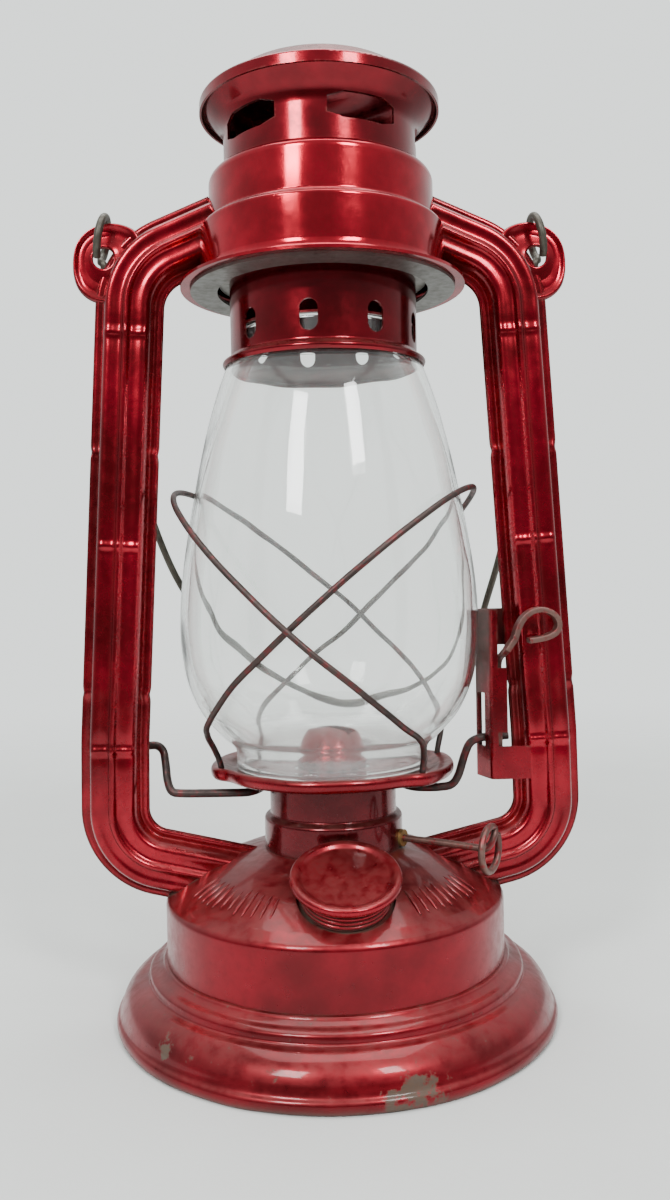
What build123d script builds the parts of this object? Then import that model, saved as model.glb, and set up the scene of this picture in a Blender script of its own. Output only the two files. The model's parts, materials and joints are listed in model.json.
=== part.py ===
"""Small tubular hurricane lantern, modelled as its separate pressings, wires and burner parts.

Millimetres, +Z up, +X to the lantern's right, -Y to its front (the filler side). The origin is the
centre of the base's underside. Revolved pressings are drawn as (radius, height) outlines.
"""

from build123d import *
import math
import os

os.makedirs("parts", exist_ok=True)

# ---- driving dimensions -------------------------------------------------------------------------
SHEET = 0.8            # thickness of the tinplate pressings
RUN_GAP = 0.5          # gap between pieces that slide past each other
PIN_GAP = 0.06         # radial clearance of a shaft in its bush

BASE_R = 62.2          # foot of the skirt
BASE_RIM_H = 3.0       # rolled rim
BASE_BULGE = 3.4       # how far the flare swells over its rim before it turns in
BEAD_R = 52.6          # bead above the flare
BEAD_Z = 12.8
FOUNT_R = 48.0         # fuel tank
FOUNT_Z0 = 17.7        # underside of the tank
FOUNT_Z1 = 34.0        # top of its upright wall
FOUNT_TOP_Z = 47.3     # flat seat of the burner collar

COLLAR_R0 = 19.7       # lower ring of the burner collar
COLLAR_STEP_Z = 56.0
COLLAR_R1 = 18.0       # upper cylinder
COLLAR_TOP_Z = 66.6
BURNER_HOLE_R = 12.0

PLATE_Z = 70.0         # face that the globe stands on
PLATE_R = 31.5
PLATE_EAR_R = 34.5
PLATE_TURN = -16.0     # the two ears are turned this far from the X axis
PLATE_HOLE_R = 10.5    # middle of the plate, round the burner cone
PLATE_HOLES = 10       # air holes
CONE_R = 9.8
CONE_TOP_Z = 81.0

GLOBE_FOOT_R = 27.2
GLOBE_MAX_R = 42.2
GLOBE_MAX_Z = 110.0
GLOBE_TOP_Z = 192.7
GLOBE_TOP_R = 24.7
GLASS = 1.8

HOOD_R = 26.3          # perforated collar over the globe
HOOD_Z0 = 182.8
HOOD_TOP_Z = 233.0
HOOD_BEAD_R = 29.0
HOOD_SLOTS = 9

DRUM_R0 = 34.3         # lower drum of the canopy
DRUM_R1 = 31.5         # upper drum
DRUM_STEP_Z = 221.0
DRUM_TOP_Z = 236.0
VENTS = 16             # slots round the top of the upper drum
CANOPY_R = 40.0        # rim of the canopy floor
CANOPY_Z0 = 204.0
SEAM_R = 37.2          # edge of the floor plate under the canopy's rim
CHIMNEY_TOP_Z = 254.6
CAP_R = 33.6
CAP_TOP_Z = 267.0
WINDOWS = 5

TUBE_HALF_W = 9.2      # half width over the seam flanges
TUBE_BODY_W = 6.9      # half width of the rounded body
TUBE_DEPTH = 7.2       # depth of one half at its middle ridge
TUBE_SHEET = 0.6
TUBE_TOP = (53.7, 211.5)
TUBE_MID = (61.6, 78.0)
TUBE_LOW = (62.2, 46.5)
TUBE_TOP_BEND = 18.0
TUBE_LOW_BEND = 16.0
EAR_X, EAR_Z = 61.2, 214.1
EAR_R, EAR_HOLE_R = 7.9, 3.1

BAIL_WIRE_R = 1.1
BAIL_EYE_R = 6.2
BAIL_EYE_TILT = 12.0
BAIL_HANG = 22.9       # the bail rests this far behind the vertical
BAIL_CREST = (9.0, 154.5)  # sideways and away from the eyes: the bail is bent to the right

GUARD_WIRE_R = 0.85
GUARD_SLOPE = 0.886    # rise of a guard loop per radius
GUARD_BULGE = 2.2      # how far a loop's top stands off the glass
LIFT_WIRE_R = 1.2
LIFT_PIVOT = (-55.0, 10.0, 75.2)

CAP_TILT = 22.0        # filler axis, from the vertical towards the front
FILLER_TOP = (1.2, -36.0, 48.8)
FILLER_CAP_R = 14.4
FILLER_NECK_R = 10.0
SEAT_DEPTH = 9.0
SEAT_R = 12.8

SHAFT_Z = 50.0
SHAFT_R = 1.0
SHAFT_TURN = -34.0     # azimuth of the winder shaft
KNOB_REACH = 46.3
KNOB_R = 6.0
WICK_W, WICK_T = 12.4, 2.2
WHEEL_R = 3.2

parts = {}


# ---- helpers ------------------------------------------------------------------------------------
def outline(points, radii):
    """Open line through the points, its inner corners rounded by the radii."""
    return FilletPolyline(*points, radius=radii)


def pressing(points, radii, wall=SHEET, side=Side.RIGHT):
    """Thin revolved pressing: the points are its outer face, the wall goes to one side of it."""
    edge = outline(points, radii).wire()
    face = Face(edge.offset_2d(wall, side=side))
    return revolve(Plane.XZ * face, Axis.Z)


def solid_of(points, radii):
    """Solid of revolution between the outline and the Z axis."""
    edge = outline(points, radii)
    (r0, z0), (r1, z1) = points[0], points[-1]
    close = Polyline((r1, z1), (0, z1), (0, z0), (r0, z0))
    return revolve(Plane.XZ * make_face(edge + close), Axis.Z)


def ring(r_in, r_out, z0, z1):
    """Plain washer."""
    face = Pos((r_in + r_out) / 2, (z0 + z1) / 2) * Rectangle(r_out - r_in, z1 - z0)
    return revolve(Plane.XZ * face, Axis.Z)


def rod(points, radii, r):
    """Round wire along straight runs joined by arcs."""
    path = FilletPolyline(*points, radius=radii)
    return sweep(Plane(origin=path @ 0, z_dir=path % 0) * Circle(r), path=path)


def polar(r, azimuth, z):
    """Point at a radius, an azimuth in degrees from +X, and a height."""
    a = math.radians(azimuth)
    return (r * math.cos(a), r * math.sin(a), z)


def around(count, start, make):
    """The same cutter repeated round the Z axis."""
    return [Rot(0, 0, start + k * 360.0 / count) * make() for k in range(count)]


def mirrored_x(solid):
    return mirror(solid, about=Plane.YZ)


def mirrored_y(solid):
    return mirror(solid, about=Plane.XZ)


# ---- base and fuel tank -------------------------------------------------------------------------
skirt_line = [
    (BASE_R, 0), (BASE_R, BASE_RIM_H), (BASE_R - 1.5, BASE_RIM_H + 1.4),
    (BASE_R - 2.0, BASE_RIM_H + 1.4 + BASE_BULGE), (BEAD_R + 2.2, BEAD_Z - 1.0),
    (BEAD_R - 1.2, BEAD_Z + 1.2), (FOUNT_R + 1.6, FOUNT_Z0 - 3.2), (FOUNT_R + 1.0, FOUNT_Z0),
    (FOUNT_R - 3.0, FOUNT_Z0),
]
skirt_radii = [0.9, 1.0, 2.6, 2.6, 1.5, 1.5, 0.9]
parts["base_skirt"] = pressing(skirt_line, skirt_radii, side=Side.LEFT)

shoulder_line = [
    (FOUNT_R, FOUNT_Z0), (FOUNT_R, FOUNT_Z1), (FOUNT_R - 3.4, FOUNT_Z1 + 2.6),
    (37.0, 41.6), (28.0, 45.2), (COLLAR_R0 + 0.6, FOUNT_TOP_Z), (BURNER_HOLE_R, FOUNT_TOP_Z),
]
shoulder_radii = [2.4, 6.0, 20.0, 20.0, 4.0]
inner_line = [(r - SHEET if i < 3 else r, z if i == 0 else z - SHEET)
              for i, (r, z) in enumerate(shoulder_line)]

filler_plane = Plane(origin=FILLER_TOP, x_dir=(1, 0, 0),
                     z_dir=(0, -math.sin(math.radians(CAP_TILT)), math.cos(math.radians(CAP_TILT))))


def on_filler(solid):
    """Places a piece drawn with its Z axis on the filler's axis."""
    return filler_plane * solid


def upright(r, z0, z1):
    """Cylinder on Z between two heights."""
    return Pos(0, 0, (z0 + z1) / 2) * Cylinder(r, z1 - z0)


def with_seat(body, wall):
    """Gives a tank solid, or the space inside its wall, the flat round seat of the filler neck."""
    seat = -SEAT_DEPTH - wall
    pocket = on_filler(upright(SEAT_R + wall, seat, seat + 12))
    boss = on_filler(upright(SEAT_R - wall, seat - 6, seat))
    return body - pocket + boss


tank_skin = with_seat(solid_of(shoulder_line, shoulder_radii), 0.0)
tank_space = with_seat(solid_of(inner_line, shoulder_radii), SHEET)
fount = tank_skin - tank_space - upright(BURNER_HOLE_R, FOUNT_Z0 - 1, FOUNT_TOP_Z + 1)
neck_hole = on_filler(upright(FILLER_NECK_R, -SEAT_DEPTH - 3, -SEAT_DEPTH + 3))
fount = fount - neck_hole
parts["fount_floor"] = upright(FOUNT_R - SHEET, FOUNT_Z0, FOUNT_Z0 + SHEET)

# Filler neck, with a plain rolled lip, soldered in the tank's seat.
neck_top = -2.6
neck = upright(FILLER_NECK_R, -SEAT_DEPTH - 2.5, neck_top) - upright(
    FILLER_NECK_R - SHEET, -SEAT_DEPTH - 3, neck_top + 1)
parts["filler_neck"] = on_filler(neck)

# Screw cap: dished lid with a rolled rim, skirt with the pressed thread standing out of it.
skirt_in = FILLER_NECK_R + RUN_GAP
skirt_out = skirt_in + SHEET
cap = upright(FILLER_CAP_R, -2.2, 0) - upright(FILLER_CAP_R - 2.4, -1.1, 1)
cap = cap - upright(FILLER_CAP_R - 0.9, -3, -2.2 + 0.7) + upright(FILLER_CAP_R - 2.6, -2.2, -1.1)
cap = cap - upright(skirt_in, -2.6, -1.9)
cap = cap + upright(skirt_out, -SEAT_DEPTH + 0.6, -1.6) - upright(skirt_in, -SEAT_DEPTH, -1.9)
THREADS = 4
for k in range(THREADS):
    z = -3.4 - 1.35 * k
    cap = cap + Pos(0, 0, z) * Torus(skirt_out, 0.4) - upright(skirt_in, -SEAT_DEPTH, -1.9)
cap = fillet(cap.edges().filter_by(GeomType.CIRCLE).filter_by(
    lambda e: abs(e.radius - FILLER_CAP_R) < 0.01), 0.6)
parts["filler_cap"] = on_filler(cap)
gasket_top = -1.9
parts["filler_gasket"] = on_filler(
    upright(skirt_in - 0.1, neck_top, gasket_top) - upright(5.0, neck_top - 1, gasket_top + 1))

# ---- side tubes ---------------------------------------------------------------------------------
tube_path_line = [(28.0, 222.6), TUBE_TOP, TUBE_MID, TUBE_LOW, (30.0, 38.9)]
tube_path = Plane.XZ * FilletPolyline(
    *[(x, z) for x, z in tube_path_line], radius=[TUBE_TOP_BEND, 150.0, TUBE_LOW_BEND])


def half_body(scale):
    """One half of the rounded body's section, from the inner seam to the outer one."""
    shape = [(-1.0, 0.0), (-0.93, 0.55), (-0.62, 0.92), (-0.3, 0.86), (0.0, 1.0),
             (0.3, 0.86), (0.62, 0.92), (0.93, 0.55), (1.0, 0.0)]
    w, d = TUBE_BODY_W - scale, TUBE_DEPTH - scale
    return [(w * s, d * y) for s, y in shape]


section_plane = Plane(origin=tube_path @ 0, x_dir=(tube_path % 0).cross(Vector(0, 1, 0)),
                      z_dir=tube_path % 0)
# The section's Y axis points to the lantern's front or back, so the sign is read from the plane.
front = -1.0 if section_plane.y_dir.Y > 0 else 1.0


def along_tube(points):
    """Sweeps a closed section down the tube."""
    face = make_face(Polyline(*[(s, front * y) for s, y in points], close=True))
    return sweep(section_plane * face, path=tube_path)


outer_half = half_body(0.0)
inner_half = half_body(TUBE_SHEET)
t = TUBE_SHEET
flanged = [(-TUBE_HALF_W, 0), (-TUBE_HALF_W, t), (-TUBE_BODY_W, t)] + outer_half[1:-1] + [
    (TUBE_BODY_W, t), (TUBE_HALF_W, t), (TUBE_HALF_W, 0)]
half_shell = along_tube(flanged + list(reversed(inner_half)))
bore_half = along_tube(inner_half)
body_half = along_tube(flanged)
bore = bore_half + mirrored_y(bore_half)
body = body_half + mirrored_y(body_half)

ear = Pos(EAR_X, -TUBE_SHEET / 2, EAR_Z) * Rot(90, 0, 0) * (
    Cylinder(EAR_R, TUBE_SHEET) - Cylinder(EAR_HOLE_R, TUBE_SHEET + 1))
ear_rim = Pos(EAR_X, -TUBE_SHEET, EAR_Z) * Rot(90, 0, 0) * Torus(EAR_R - 0.7, 0.65)
front_side = Pos(0, -50, 150) * Box(300, 100, 400)
ear = ear + (ear_rim & front_side) - body_half

drum_line = [
    (CANOPY_R, CANOPY_Z0 + 2 * SHEET), (DRUM_R0, CANOPY_Z0 + 2 * SHEET), (DRUM_R0, DRUM_STEP_Z),
    (DRUM_R1, DRUM_STEP_Z + 1.4), (DRUM_R1, DRUM_TOP_Z), (HOOD_R + SHEET + RUN_GAP, DRUM_TOP_Z),
]
drum_radii = [3.6, 1.2, 1.0, 2.8]
drum_space = solid_of([(DRUM_R0, CANOPY_Z0)] + drum_line[2:], drum_radii[1:])

ear_hole = Pos(EAR_X, 0, EAR_Z) * Rot(90, 0, 0) * Cylinder(EAR_HOLE_R, 4)
half = half_shell - drum_space - tank_skin + ear - ear_hole
parts["right_tube_front"] = half
parts["right_tube_rear"] = mirrored_y(half)
parts["left_tube_front"] = mirrored_x(half)
parts["left_tube_rear"] = mirrored_x(mirrored_y(half))

parts["fount_shell"] = fount - bore - mirrored_x(bore)

# ---- canopy, chimney and hood -------------------------------------------------------------------
drum = pressing(drum_line, drum_radii, side=Side.LEFT)
drum = drum - bore - mirrored_x(bore)
vent_r = (DRUM_R1 + HOOD_R + SHEET + RUN_GAP) / 2
for slot in around(VENTS, 4.0, lambda: Pos(vent_r - 0.5, 0, DRUM_TOP_Z) * Box(1.3, 4.2, 4)):
    drum = drum - slot
parts["canopy_drum"] = drum

hole_r = HOOD_R + 3.4
parts["canopy_floor"] = ring(hole_r, SEAM_R, CANOPY_Z0, CANOPY_Z0 + SHEET)

hood_line = [(HOOD_BEAD_R - 0.8, HOOD_Z0), (HOOD_BEAD_R, HOOD_Z0 + 1.4), (HOOD_R, HOOD_Z0 + 2.8),
             (HOOD_R, HOOD_TOP_Z)]
hood = pressing(hood_line, [0.8, 1.0], wall=0.6, side=Side.LEFT)
SLOT_Z = 192.1
for cutter in around(HOOD_SLOTS, -101.0, lambda: Pos(HOOD_R, 0, SLOT_Z) * Rot(0, 90, 0) * extrude(
        SlotOverall(8.2, 4.8), 3, both=True)):
    hood = hood - cutter
hood = hood + ring(GLOBE_TOP_R - 1.6, HOOD_R - 0.6, GLOBE_TOP_Z, GLOBE_TOP_Z + 0.6)
parts["hood"] = hood

BRIM_R = CAP_R - 0.6
chimney_line = [(HOOD_R + SHEET, HOOD_TOP_Z - 11), (HOOD_R + SHEET, 249.0), (BRIM_R, CHIMNEY_TOP_Z)]
chimney = pressing(chimney_line, [6.0], side=Side.LEFT)
window = Polyline((-2.0, -9.8), (2.0, -9.8), (3.3, -5.6), (3.3, 5.6), (2.0, 9.8), (-2.0, 9.8),
                  (-3.3, 5.6), (-3.3, -5.6), close=True)
for cutter in around(WINDOWS, -67.1, lambda: Pos(HOOD_R, 0, 245.4) * Rot(0, 90, 0) * extrude(
        make_face(window), 7, both=True)):
    chimney = chimney - cutter
parts["chimney"] = chimney

lid_line = [(CAP_R, CHIMNEY_TOP_Z - 1.6), (CAP_R, CHIMNEY_TOP_Z + 1.4), (CAP_R - 2.6, CHIMNEY_TOP_Z + 2.2),
            (25.0, CAP_TOP_Z - 5.4), (13.0, CAP_TOP_Z - 0.8), (0.0, CAP_TOP_Z)]
lid_edge = outline(lid_line, [0.9, 1.5, 12.0, 20.0])
lid_shape = revolve(Plane.XZ * make_face(lid_edge + Polyline(
    (0.0, CAP_TOP_Z), (0.0, CHIMNEY_TOP_Z - 1.6), (CAP_R, CHIMNEY_TOP_Z - 1.6))), Axis.Z)
lid_in_line = [(BRIM_R, CHIMNEY_TOP_Z - 1.6)] + [(r - 0.6 if r else 0.0, z - 0.6) for r, z in lid_line[1:]]
lid_space = revolve(Plane.XZ * make_face(outline(lid_in_line, [0.4, 1.5, 12.0, 20.0]) + Polyline(
    (0.0, CAP_TOP_Z - 0.6), (0.0, CHIMNEY_TOP_Z - 1.6), (BRIM_R, CHIMNEY_TOP_Z - 1.6))), Axis.Z)
parts["chimney_cap"] = lid_shape - lid_space

BAFFLE_Z = 241.0
tongue = Pos(0, 0, BAFFLE_Z) * Box(80, 11, SHEET) + Pos(8, 0, BAFFLE_Z + 3) * Rot(0, -40, 0) * Box(9, 11, SHEET)
parts["chimney_baffle"] = tongue & upright(HOOD_R, 230, 260)

RETAINER_Z = 206.4
parts["spring_retainer"] = ring(HOOD_R, HOOD_R + 2.9, RETAINER_Z, RETAINER_Z + SHEET)
spring_z0 = RETAINER_Z + SHEET
spring_z1 = DRUM_TOP_Z - SHEET
SPRING_WIRE_R = 0.5
SPRING_R = HOOD_R + SHEET + 2 * RUN_GAP + SPRING_WIRE_R
SPRING_TURNS = 4
spring_span = spring_z1 - spring_z0 - 2 * SPRING_WIRE_R - 0.3
coil = Helix(pitch=spring_span / SPRING_TURNS, height=spring_span, radius=SPRING_R)
spring = sweep(Plane(origin=coil @ 0, z_dir=coil % 0) * Circle(SPRING_WIRE_R), path=coil)
parts["hood_spring"] = Pos(0, 0, spring_z0 + SPRING_WIRE_R + 0.15) * spring

# ---- globe and its carriage ---------------------------------------------------------------------
globe_outer = [
    (GLOBE_FOOT_R, PLATE_Z + 6.2), (30.6, PLATE_Z + 9.4), (36.3, PLATE_Z + 15.6), (39.9, PLATE_Z + 23.4),
    (GLOBE_MAX_R, GLOBE_MAX_Z), (41.5, 122.5), (39.8, 134.5), (37.7, 145.8), (35.0, 159.0), (31.9, 171.0),
    (28.1, 182.0), (26.5, 184.2), (25.2, 186.4), (GLOBE_TOP_R, 188.6)]


def globe_radius(z):
    """Outer radius of the glass at a height, between its outline points."""
    for (r0, z0), (r1, z1) in zip(globe_outer, globe_outer[1:]):
        if z0 <= z <= z1:
            return r0 + (r1 - r0) * (z - z0) / (z1 - z0)
    return GLOBE_FOOT_R


outer_curve = Spline(*globe_outer)
inner_curve = Spline(*[(r - GLASS, z) for r, z in globe_outer])
globe_face = make_face([
    outer_curve, inner_curve,
    Polyline(inner_curve @ 1, (GLOBE_TOP_R - GLASS, GLOBE_TOP_Z), (GLOBE_TOP_R, GLOBE_TOP_Z), outer_curve @ 1),
    Polyline(inner_curve @ 0, (GLOBE_FOOT_R - GLASS, PLATE_Z), (GLOBE_FOOT_R, PLATE_Z), outer_curve @ 0)])
parts["globe"] = revolve(Plane.XZ * globe_face, Axis.Z)

plate_shape = Circle(PLATE_R) + Rot(0, 0, PLATE_TURN) * (
    Circle(PLATE_EAR_R) & Rectangle(2 * PLATE_EAR_R, 2 * PLATE_EAR_R * math.sin(math.radians(38))))
plate_in = Circle(PLATE_R - SHEET) + Rot(0, 0, PLATE_TURN) * (
    Circle(PLATE_EAR_R - SHEET) & Rectangle(2 * PLATE_EAR_R, 2 * PLATE_EAR_R * math.sin(math.radians(37))))
plate = Pos(0, 0, PLATE_Z - SHEET) * extrude(plate_shape, SHEET)
plate = plate + Pos(0, 0, PLATE_Z - 2.5) * extrude(plate_shape - plate_in, 3.3)
plate = plate + ring(GLOBE_FOOT_R + 0.5, GLOBE_FOOT_R + 1.3, PLATE_Z - 0.1, PLATE_Z + 1.2)
plate = plate - upright(PLATE_HOLE_R, PLATE_Z - 5, PLATE_Z + 5)
for hole in around(PLATE_HOLES, 8.0, lambda: Pos(20.0, 0, PLATE_Z) * Cylinder(1.5, 6)):
    plate = plate - hole

GUARD_END_R = PLATE_EAR_R - 2.9
GUARD_SPREAD = 152.0
guard_ends = []


def guard_wire(top_azimuth, gap):
    """Tilted loop round the globe, its two ends standing in one ear of the plate."""
    path = [polar(GUARD_END_R, top_azimuth - GUARD_SPREAD, z) for z in (PLATE_Z - 2.0, PLATE_Z + 8.0)]
    turns_at = range(-135, 136, 15)
    for a in turns_at:
        lean = math.cos(math.radians(a))
        r = GLOBE_MAX_R
        for _ in range(30):
            z = GLOBE_MAX_Z + 1.0 + GUARD_SLOPE * r * lean
            r = 0.5 * r + 0.5 * (globe_radius(z) + gap + GUARD_BULGE * max(0.0, lean) ** 2)
        path.append(polar(r, top_azimuth + a, z))
    path += [polar(GUARD_END_R, top_azimuth + GUARD_SPREAD, z) for z in (PLATE_Z + 8.0, PLATE_Z - 2.0)]
    bends = [3.0, 4.0] + [11.0] * (len(turns_at) - 2) + [4.0, 3.0]
    guard_ends.extend([path[0], path[-1]])
    return rod(path, bends, GUARD_WIRE_R)


near_gap = GUARD_WIRE_R + 1.2
far_gap = near_gap + 2 * GUARD_WIRE_R + 0.1
parts["guard_wire_left"] = guard_wire(PLATE_TURN, near_gap)
parts["guard_wire_right"] = guard_wire(PLATE_TURN + 180.0, far_gap)
for x, y, z in guard_ends:
    plate = plate - Pos(x, y, z) * Cylinder(GUARD_WIRE_R, 12)
parts["globe_plate"] = plate

# ---- burner -------------------------------------------------------------------------------------
shaft_dir = Vector(*polar(1, SHAFT_TURN, 0))
shaft_side = Vector(*polar(1, SHAFT_TURN + 90, 0))
wheel_offset = WICK_T / 2 + 0.15 + WHEEL_R
shaft_foot = shaft_side * wheel_offset + Vector(0, 0, SHAFT_Z)
shaft_plane = Plane(origin=shaft_foot, x_dir=(0, 0, 1), z_dir=shaft_dir)
wick_plane = Plane(origin=(0, 0, 0), x_dir=shaft_dir, z_dir=(0, 0, 1))


def on_shaft(solid):
    """Places a piece drawn with its Z axis on the winder shaft."""
    return shaft_plane * solid


BUSH_R = 2.4
bush_s = math.sqrt(COLLAR_R0 ** 2 - wheel_offset ** 2)
collar_line = [(COLLAR_R0, FOUNT_TOP_Z), (COLLAR_R0, COLLAR_STEP_Z), (COLLAR_R1, COLLAR_STEP_Z + 1.0),
               (COLLAR_R1, COLLAR_TOP_Z)]
collar = pressing(collar_line, [1.2, 0.8], side=Side.LEFT)
bush_hole = on_shaft(upright(BUSH_R, bush_s - 4, bush_s + 4))
parts["burner_collar"] = collar - bush_hole
bush = upright(BUSH_R, bush_s - 2.6, bush_s + 1.2) - upright(SHAFT_R + PIN_GAP, bush_s - 5, bush_s + 5)
parts["winder_bush"] = on_shaft(bush)

tube_w, tube_t = WICK_W + 1.6, WICK_T + 1.6
WICK_TUBE_TOP = 74.0


def wick_prism(w, thick, z0, z1):
    """Upright rectangular bar on the burner's axis, its long side along the shaft."""
    return Pos(0, 0, (z0 + z1) / 2) * (wick_plane * Box(w, thick, z1 - z0))


wheel_room = on_shaft(upright(WHEEL_R + 0.7, -2.6, 2.6))
GALLERY_Z = 61.0
GALLERY_HOLES = 12
wick_tube = wick_prism(tube_w, tube_t, 38.0, WICK_TUBE_TOP) - wick_prism(tube_w - 0.8, tube_t - 0.8, 37, 75)
parts["wick_tube"] = wick_tube - wheel_room
tube_hole = wick_prism(tube_w, tube_t, 30, 80)
burner_base = upright(14.0, FOUNT_TOP_Z, FOUNT_TOP_Z + SHEET) + upright(
    BURNER_HOLE_R - 0.1, FOUNT_TOP_Z - 5, FOUNT_TOP_Z)
parts["burner_base"] = burner_base - upright(BURNER_HOLE_R - 0.9, FOUNT_TOP_Z - 6, FOUNT_TOP_Z - 1) \
    - tube_hole - wheel_room
gallery = upright(COLLAR_R1 - SHEET, GALLERY_Z, GALLERY_Z + 0.6) - tube_hole
for hole in around(GALLERY_HOLES, 15.0, lambda: Pos(13.6, 0, GALLERY_Z) * Cylinder(1.6, 4)):
    gallery = gallery - hole
parts["burner_gallery"] = gallery

cone_line = [(CONE_R + 1.8, GALLERY_Z + 0.6), (CONE_R, GALLERY_Z + 2.6), (CONE_R, 74.0),
             (CONE_R - 2.4, CONE_TOP_Z - 2.0), (0.0, CONE_TOP_Z)]
cone_in = [(r - 0.6 if r else 0.0, z - 0.6 if i else z) for i, (r, z) in enumerate(cone_line)]
cone_radii = [1.0, 5.0, 5.0]
cone = solid_of(cone_line[:-1] + [(0.01, CONE_TOP_Z)], cone_radii) - solid_of(
    cone_in[:-1] + [(0.01, CONE_TOP_Z - 0.6)], cone_radii)
parts["burner_cone"] = cone - wick_prism(WICK_W + 1.2, 4.6, 74.5, 90)

parts["wick"] = wick_prism(WICK_W, WICK_T, 30.0, 76.4)

TEETH = 12
tooth = Polyline((WHEEL_R - 0.9, -0.55), (WHEEL_R, -0.12), (WHEEL_R, 0.12), (WHEEL_R - 0.9, 0.55),
                 (0, 0.5), (0, -0.5), close=True)
star = Circle(WHEEL_R - 0.8)
for k in range(TEETH):
    star = star + Rot(0, 0, k * 360.0 / TEETH) * make_face(tooth)
parts["wick_wheel"] = on_shaft(Pos(0, 0, -1.5) * extrude(star - Circle(SHAFT_R), 3.0))

shaft = upright(SHAFT_R, -4.0, KNOB_REACH)
knob = Pos(0, 0, KNOB_REACH) * Torus(KNOB_R, 0.95)
spoke = Pos(KNOB_R / 2, 0, KNOB_REACH) * Rot(0, 90, 0) * Cylinder(0.95, KNOB_R)
parts["winder_shaft"] = on_shaft(shaft + knob + spoke)

# ---- globe lift ---------------------------------------------------------------------------------
BRACKET_Z0, BRACKET_Z1 = 65.3, 113.6
BRACKET_FRONT, BRACKET_BACK = -5.0, 3.4
BRACKET_BEND = 45.8        # X of the fold between the web and its front flange
WIRE_END_Z = 76.4
WIRE_Y = -0.4
LIFT_TRAVEL = 11.0
plan = FilletPolyline((57.0, BRACKET_FRONT), (BRACKET_BEND, BRACKET_FRONT), (BRACKET_BEND - 3.0, BRACKET_BACK),
                      (54.6, BRACKET_BACK), radius=0.9)
bracket = Pos(0, 0, BRACKET_Z0) * extrude(Face(plan.wire().offset_2d(SHEET, side=Side.LEFT)),
                                          BRACKET_Z1 - BRACKET_Z0)


def away(x0, y0, y1, z0, z1):
    """Room cut out of the bracket, from x0 towards the tube."""
    return Pos(x0 + 20, (y0 + y1) / 2, (z0 + z1) / 2) * Box(40, y1 - y0, z1 - z0)


fold_x = BRACKET_BEND + 1.4
bracket = bracket - away(fold_x, -8, 0, 74.6, 78.6)               # between the bottom tab and the guide
bracket = bracket - away(49.8, -8, 0, 78.0, 98.0)                 # the guide flange is narrower
bracket = bracket - away(fold_x, -8, 0, 97.0, BRACKET_Z1 + 1)     # the lever leaves forward above it
bracket = bracket - away(BRACKET_BEND - 1.6, 1, 8, BRACKET_Z0 - 1, 103.0)
bracket = bracket - Pos(BRACKET_BEND - 1.8, WIRE_Y, WIRE_END_Z + LIFT_TRAVEL / 2) * Box(
    3.4, 3.6, LIFT_TRAVEL + 4.4)
parts["lift_bracket"] = bracket - body

# Lever: a flat shank behind the guide flange, stepped forward into a finger loop before the tube.
LEVER_X = 47.8
LEVER_T = 1.2
LOOP_FRONT, LOOP_BACK = -14.0, -8.4
SHANK_FRONT, SHANK_BACK = -4.1, 2.2
STEP_Z0, STEP_Z1 = 98.4, 102.4
lever_line = [(LEVER_X, 72.6), (LEVER_X, STEP_Z1 + 0.4), (51.4, 106.0), (53.0, 112.2), (58.6, 114.2),
              (64.6, 111.4), (62.4, 106.4), (54.2, 104.6)]
lever_path = FilletPolyline(*lever_line, radius=[1.5, 4.0, 3.0, 3.0, 2.2, 4.0]).wire()
lever_face = Face(lever_path.offset_2d(LEVER_T, side=Side.LEFT))
lever = Pos(0, SHANK_BACK, 0) * extrude(Plane.XZ * lever_face, SHANK_BACK - LOOP_FRONT, dir=(0, -1, 0))
lever = lever - Pos(56, LOOP_BACK + 10, STEP_Z1 + 20) * Box(40, 20, 40)
lever = lever - Pos(48, SHANK_FRONT - 10, STEP_Z0 - 20) * Box(20, 20, 40)
lever = lever - Pos(LEVER_X, WIRE_Y, WIRE_END_Z + 0.5) * Rot(0, 90, 0) * Cylinder(LIFT_WIRE_R + RUN_GAP, 6)
parts["lift_lever"] = lever

loop_r = (COLLAR_R1 + LIFT_WIRE_R + 1.2) / math.cos(math.radians(22.5))
wire_z = 62.4
lift_line = [(LIFT_PIVOT[0] - 3.0, LIFT_PIVOT[1], LIFT_PIVOT[2]), (-49.6, LIFT_PIVOT[1], LIFT_PIVOT[2]),
             (-46.6, 2.0, wire_z)] + [polar(loop_r + (1.6 if a % 180 == 0 else 0), a, wire_z)
                                      for a in (180, 135, 90, 45, 0)] + [
    (34.8, WIRE_Y, wire_z), (38.6, WIRE_Y, 74.0), (41.6, WIRE_Y, WIRE_END_Z), (51.0, WIRE_Y, WIRE_END_Z + 0.6)]
lift_wire = rod(lift_line, [3.0, 4.0, 4.0, 6.0, 8.0, 6.0, 4.0, 4.0, 4.0, 2.0], LIFT_WIRE_R)
parts["lift_wire"] = lift_wire

clip = Pos(LIFT_PIVOT[0], 9.6, LIFT_PIVOT[2]) * Box(2.0, 6.6, 8.0)
clip = clip - Pos(*LIFT_PIVOT) * Rot(0, 90, 0) * Cylinder(LIFT_WIRE_R + RUN_GAP, 6)
parts["lift_clip"] = clip - mirrored_x(body)

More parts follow.
